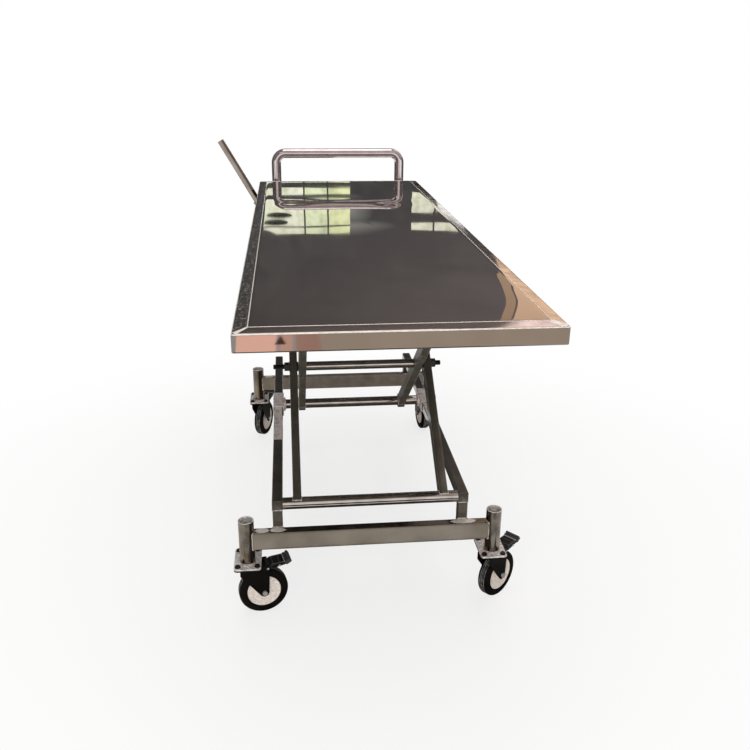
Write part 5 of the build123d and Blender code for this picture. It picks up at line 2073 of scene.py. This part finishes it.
    def cards(self) -> Iterator[Card]:
        """Give the boards that the polish shows.

        Yields:
            Each board: barred window light, warm walls, dark boards, and patches of ground, some of them dark
                sheets of painted shade where the trolley shades the floor.
        """
        back, ground = self.back_wall, self.ground
        pale, warm, blush, pink = "#f0f0dc", "#ffd9b8", "#ffeeea", "#ffcfbe"
        left_panes = ((-0.385, -0.118, "#f1f4dd"), (-0.108, 0.026, "#e6efc8"), (0.036, 0.168, "#eaf0bc"))
        left_rows = ((1.275, 1.294), (1.328, 1.368), (1.392, 1.563), (1.573, 1.608))
        right_panes = ((0.556, 0.690, pale), (0.702, 0.86, pale))
        right_rows = ((1.36, 1.475), (1.545, 1.60))
        windows = ((left_panes, left_rows, 1.7), (right_panes, right_rows, 1.6))
        for panes, rows, strength in windows:
            for left, right, tint in panes:
                for low, high in rows:
                    across, up = (right - left, 0, 0), (0, 0, high - low)
                    yield Card("window", (left, back, low), across, up, tint, strength, leaves=True)
        for low, wide, high in ((1.36, 0.15, 1.57), (1.515, 0.30, 1.625)):
            up = (0, 0, high - low)
            yield Card("smoke", (0.168, back, low), (wide, 0, 0), up, "#a9a9a6", 1.0, fades=True)
        ovals = ((-0.346, -0.189, 1.491, 0.017), (-0.368, -0.216, 1.536, 0.020))
        for left, right, middle, half in ovals:
            corner, across, up = (left, back - 0.01, middle - half), (right - left, 0, 0), (0, 0, 2 * half)
            yield Card("dark_oval", corner, across, up, "#3c3b38", 1.0, shape=Board.OVAL)
        # Dark sheets on the floor before and under the trolley: painted shade.
        for left, near, far in ((-0.62, -3.4, -1.0), (-0.33, -0.78, 0.85)):
            across, up = (0.62 - left, 0, 0), (0, far - near, 0)
            yield Card("shaded_ground", (left, near, ground), across, up, "#5c554d", 0.6)
        for left, wide, strength in ((-0.57, 0.27, 2.6), (-0.28, 0.07, 1.7), (-0.19, 0.14, 1.1)):
            yield Card("warm_ground", (left, -4.35, 0.02), (wide, 0, 0), (0, 0.75, 0), pink, strength)
        peak = ((-0.31, -3.87, 0.03), (0.065, 0, 0), (0, -0.27, 0))
        yield Card("dark_ground", *peak, "#6b4a40", 1.0, shape=Board.PEAK)
        plain = (
            ("window_corner", (-0.40, back - 0.01, 1.563), (0.115, 0, 0.045), (0, 0, 0.06), "#656363", 1.0),
            ("far_rim_board", (0.80, back, 1.19), (0.22, 0, 0), (0, 0, 0.2), self.white, 1.3),
            ("warm_post", (1.17, back, 1.80), (0.07, 0, 0), (0, 0, 0.8), warm, 0.75),
            ("warm_wall", (1.255, back, 1.80), (1.215, 0, 0), (0, 0, 0.8), warm, 1.3),
            ("warm_wall_low", (1.29, back, 1.515), (1.2, 0, 0), (0, 0, 0.38), warm, 1.3),
            ("pink_wall", (1.38, back, 2.75), (1.3, 0, 0), (0, 0, 1.85), "#fce8e8", 2.0),
            ("ceiling", (-2.2, -4.0, 4.0), (4.4, 0, 0), (0, 3.2, 0), blush, 0.55),
            ("high_board", (-2.0, -4.0, 2.2), (4.0, 0, 0), (0, 0, 1.8), blush, 0.25),
            ("front_board", (-2.0, -3.2, 0.45), (4.0, 0, 0), (0, 0, 1.75), "#fff2f0", 1.0),
            ("straw_ground", (-0.62, -0.78, ground), (0.285, 0, 0), (0, 1.63, 0), "#c4a986", 1.35),
            ("shade_behind", (-0.34, 0.92, ground), (0.40, 0, 0), (0, 1.7, 0), "#3c3f38", 0.5),
            ("shade_under_deck", (-0.7, 1.06, 0.42), (1.4, 0, 0), (0, 0, 0.56), "#4a4b4e", 1.0),
            ("dark_wainscot", (-1.7, 2.62, 0.55), (3.4, 0, 0), (0, 0, 0.71), "#2b2827", 1.0),
            ("dark_wainscot", (-1.7, 0.2, 0.55), (0, 2.42, 0), (0, 0, 0.71), "#2b2827", 1.0),
            ("dark_wainscot", (1.7, 0.2, 0.55), (0, 2.42, 0), (0, 0, 0.71), "#2b2827", 1.0),
            ("tan_ground", (-0.045, -4.6, 0.02), (2.6, 0, 0), (0, 1.3, 0), "#ffefdb", 1.03),
            ("dark_ceiling", (-1.2, -0.75, 3.5), (2.4, 0, 0), (0, 0.85, 0), "#3a3634", 1.0),
        )
        for row in plain:
            yield Card(*row)

    def build_card(self, card: Card) -> None:
        """Stand a board up.

        Args:
            card: its place and light.
        """
        corner, across, up = Vector(card.corner), Vector(card.across), Vector(card.up)
        outline = [corner, corner + across, corner + across + up, corner + up]
        if card.shape is Board.PEAK:
            outline = [corner, corner + across, corner + across / 2 + up]
        if card.shape is Board.OVAL:
            middle = corner + (across + up) / 2
            turns = [math.tau * k / 48 for k in range(48)]
            outline = [middle + across / 2 * math.cos(t) + up / 2 * math.sin(t) for t in turns]
        name = f"{card.name}_{card.colour[1:]}_{card.strength}"
        material = bpy.data.materials.get(name)
        if material is None:
            material = bpy.data.materials.new(name)
            material.use_nodes = True
            self.light_card(card, material.node_tree)
        board = self.stand(card.name, outline, material)
        board.visible_camera = False
        board.visible_diffuse = False
        board.visible_shadow = False
        board.visible_transmission = False

    def light_card(self, card: Card, tree: bpy.types.NodeTree) -> None:
        """Lay out a board's glow.

        Args:
            card: the board.
            tree: its material's own tree.
        """
        tree.nodes.clear()
        colour: Any = linear(card.colour)
        if card.leaves:
            place = add_node(tree, "TexCoord")["Object"]
            leafy = {"Vector": place, "Scale": self.leaf_scale, "Detail": 5.0}
            leaves = add_node(tree, "TexNoise", inputs=leafy)["Fac"]
            span = {"Value": leaves, "From Min": 0.42, "From Max": 0.72, "To Max": 0.6}
            share = add_node(tree, "MapRange", inputs=span)["Result"]
            blend = {0: share, 6: colour, 7: linear(self.leaf)}
            colour = add_node(tree, "Mix", {"data_type": "RGBA"}, blend)[2]
        glow = add_node(tree, "Emission", inputs={"Color": colour, "Strength": card.strength})[0]
        if card.fades:
            place = add_node(tree, "TexCoord")["Generated"]
            shift = {"Vector": place, "Location": (0, 0, -1), "Scale": (1, 0, 2)}
            edge = add_node(tree, "Mapping", inputs=shift)["Vector"]
            share = add_node(tree, "TexGradient", {"gradient_type": "SPHERICAL"}, {"Vector": edge})["Fac"]
            clear = add_node(tree, "BsdfTransparent")[0]
            glow = add_node(tree, "MixShader", inputs={0: share, 1: clear, 2: glow})[0]
        add_node(tree, "OutputMaterial", inputs={"Surface": glow})


def main() -> None:
    """Build the trolley round its frame, then the studio."""
    logging.basicConfig(level=logging.INFO, format="%(name)s: %(message)s")
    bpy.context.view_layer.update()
    rig = Rig(frame)
    Studio().build()
    for assembly in (Deck(rig), Base(rig), Scissor(rig), Slides(rig), Drive(rig)):
        assembly.build()
    for corner in CORNERS:
        Caster(rig, corner).build()


if __name__ == "__main__":
    main()
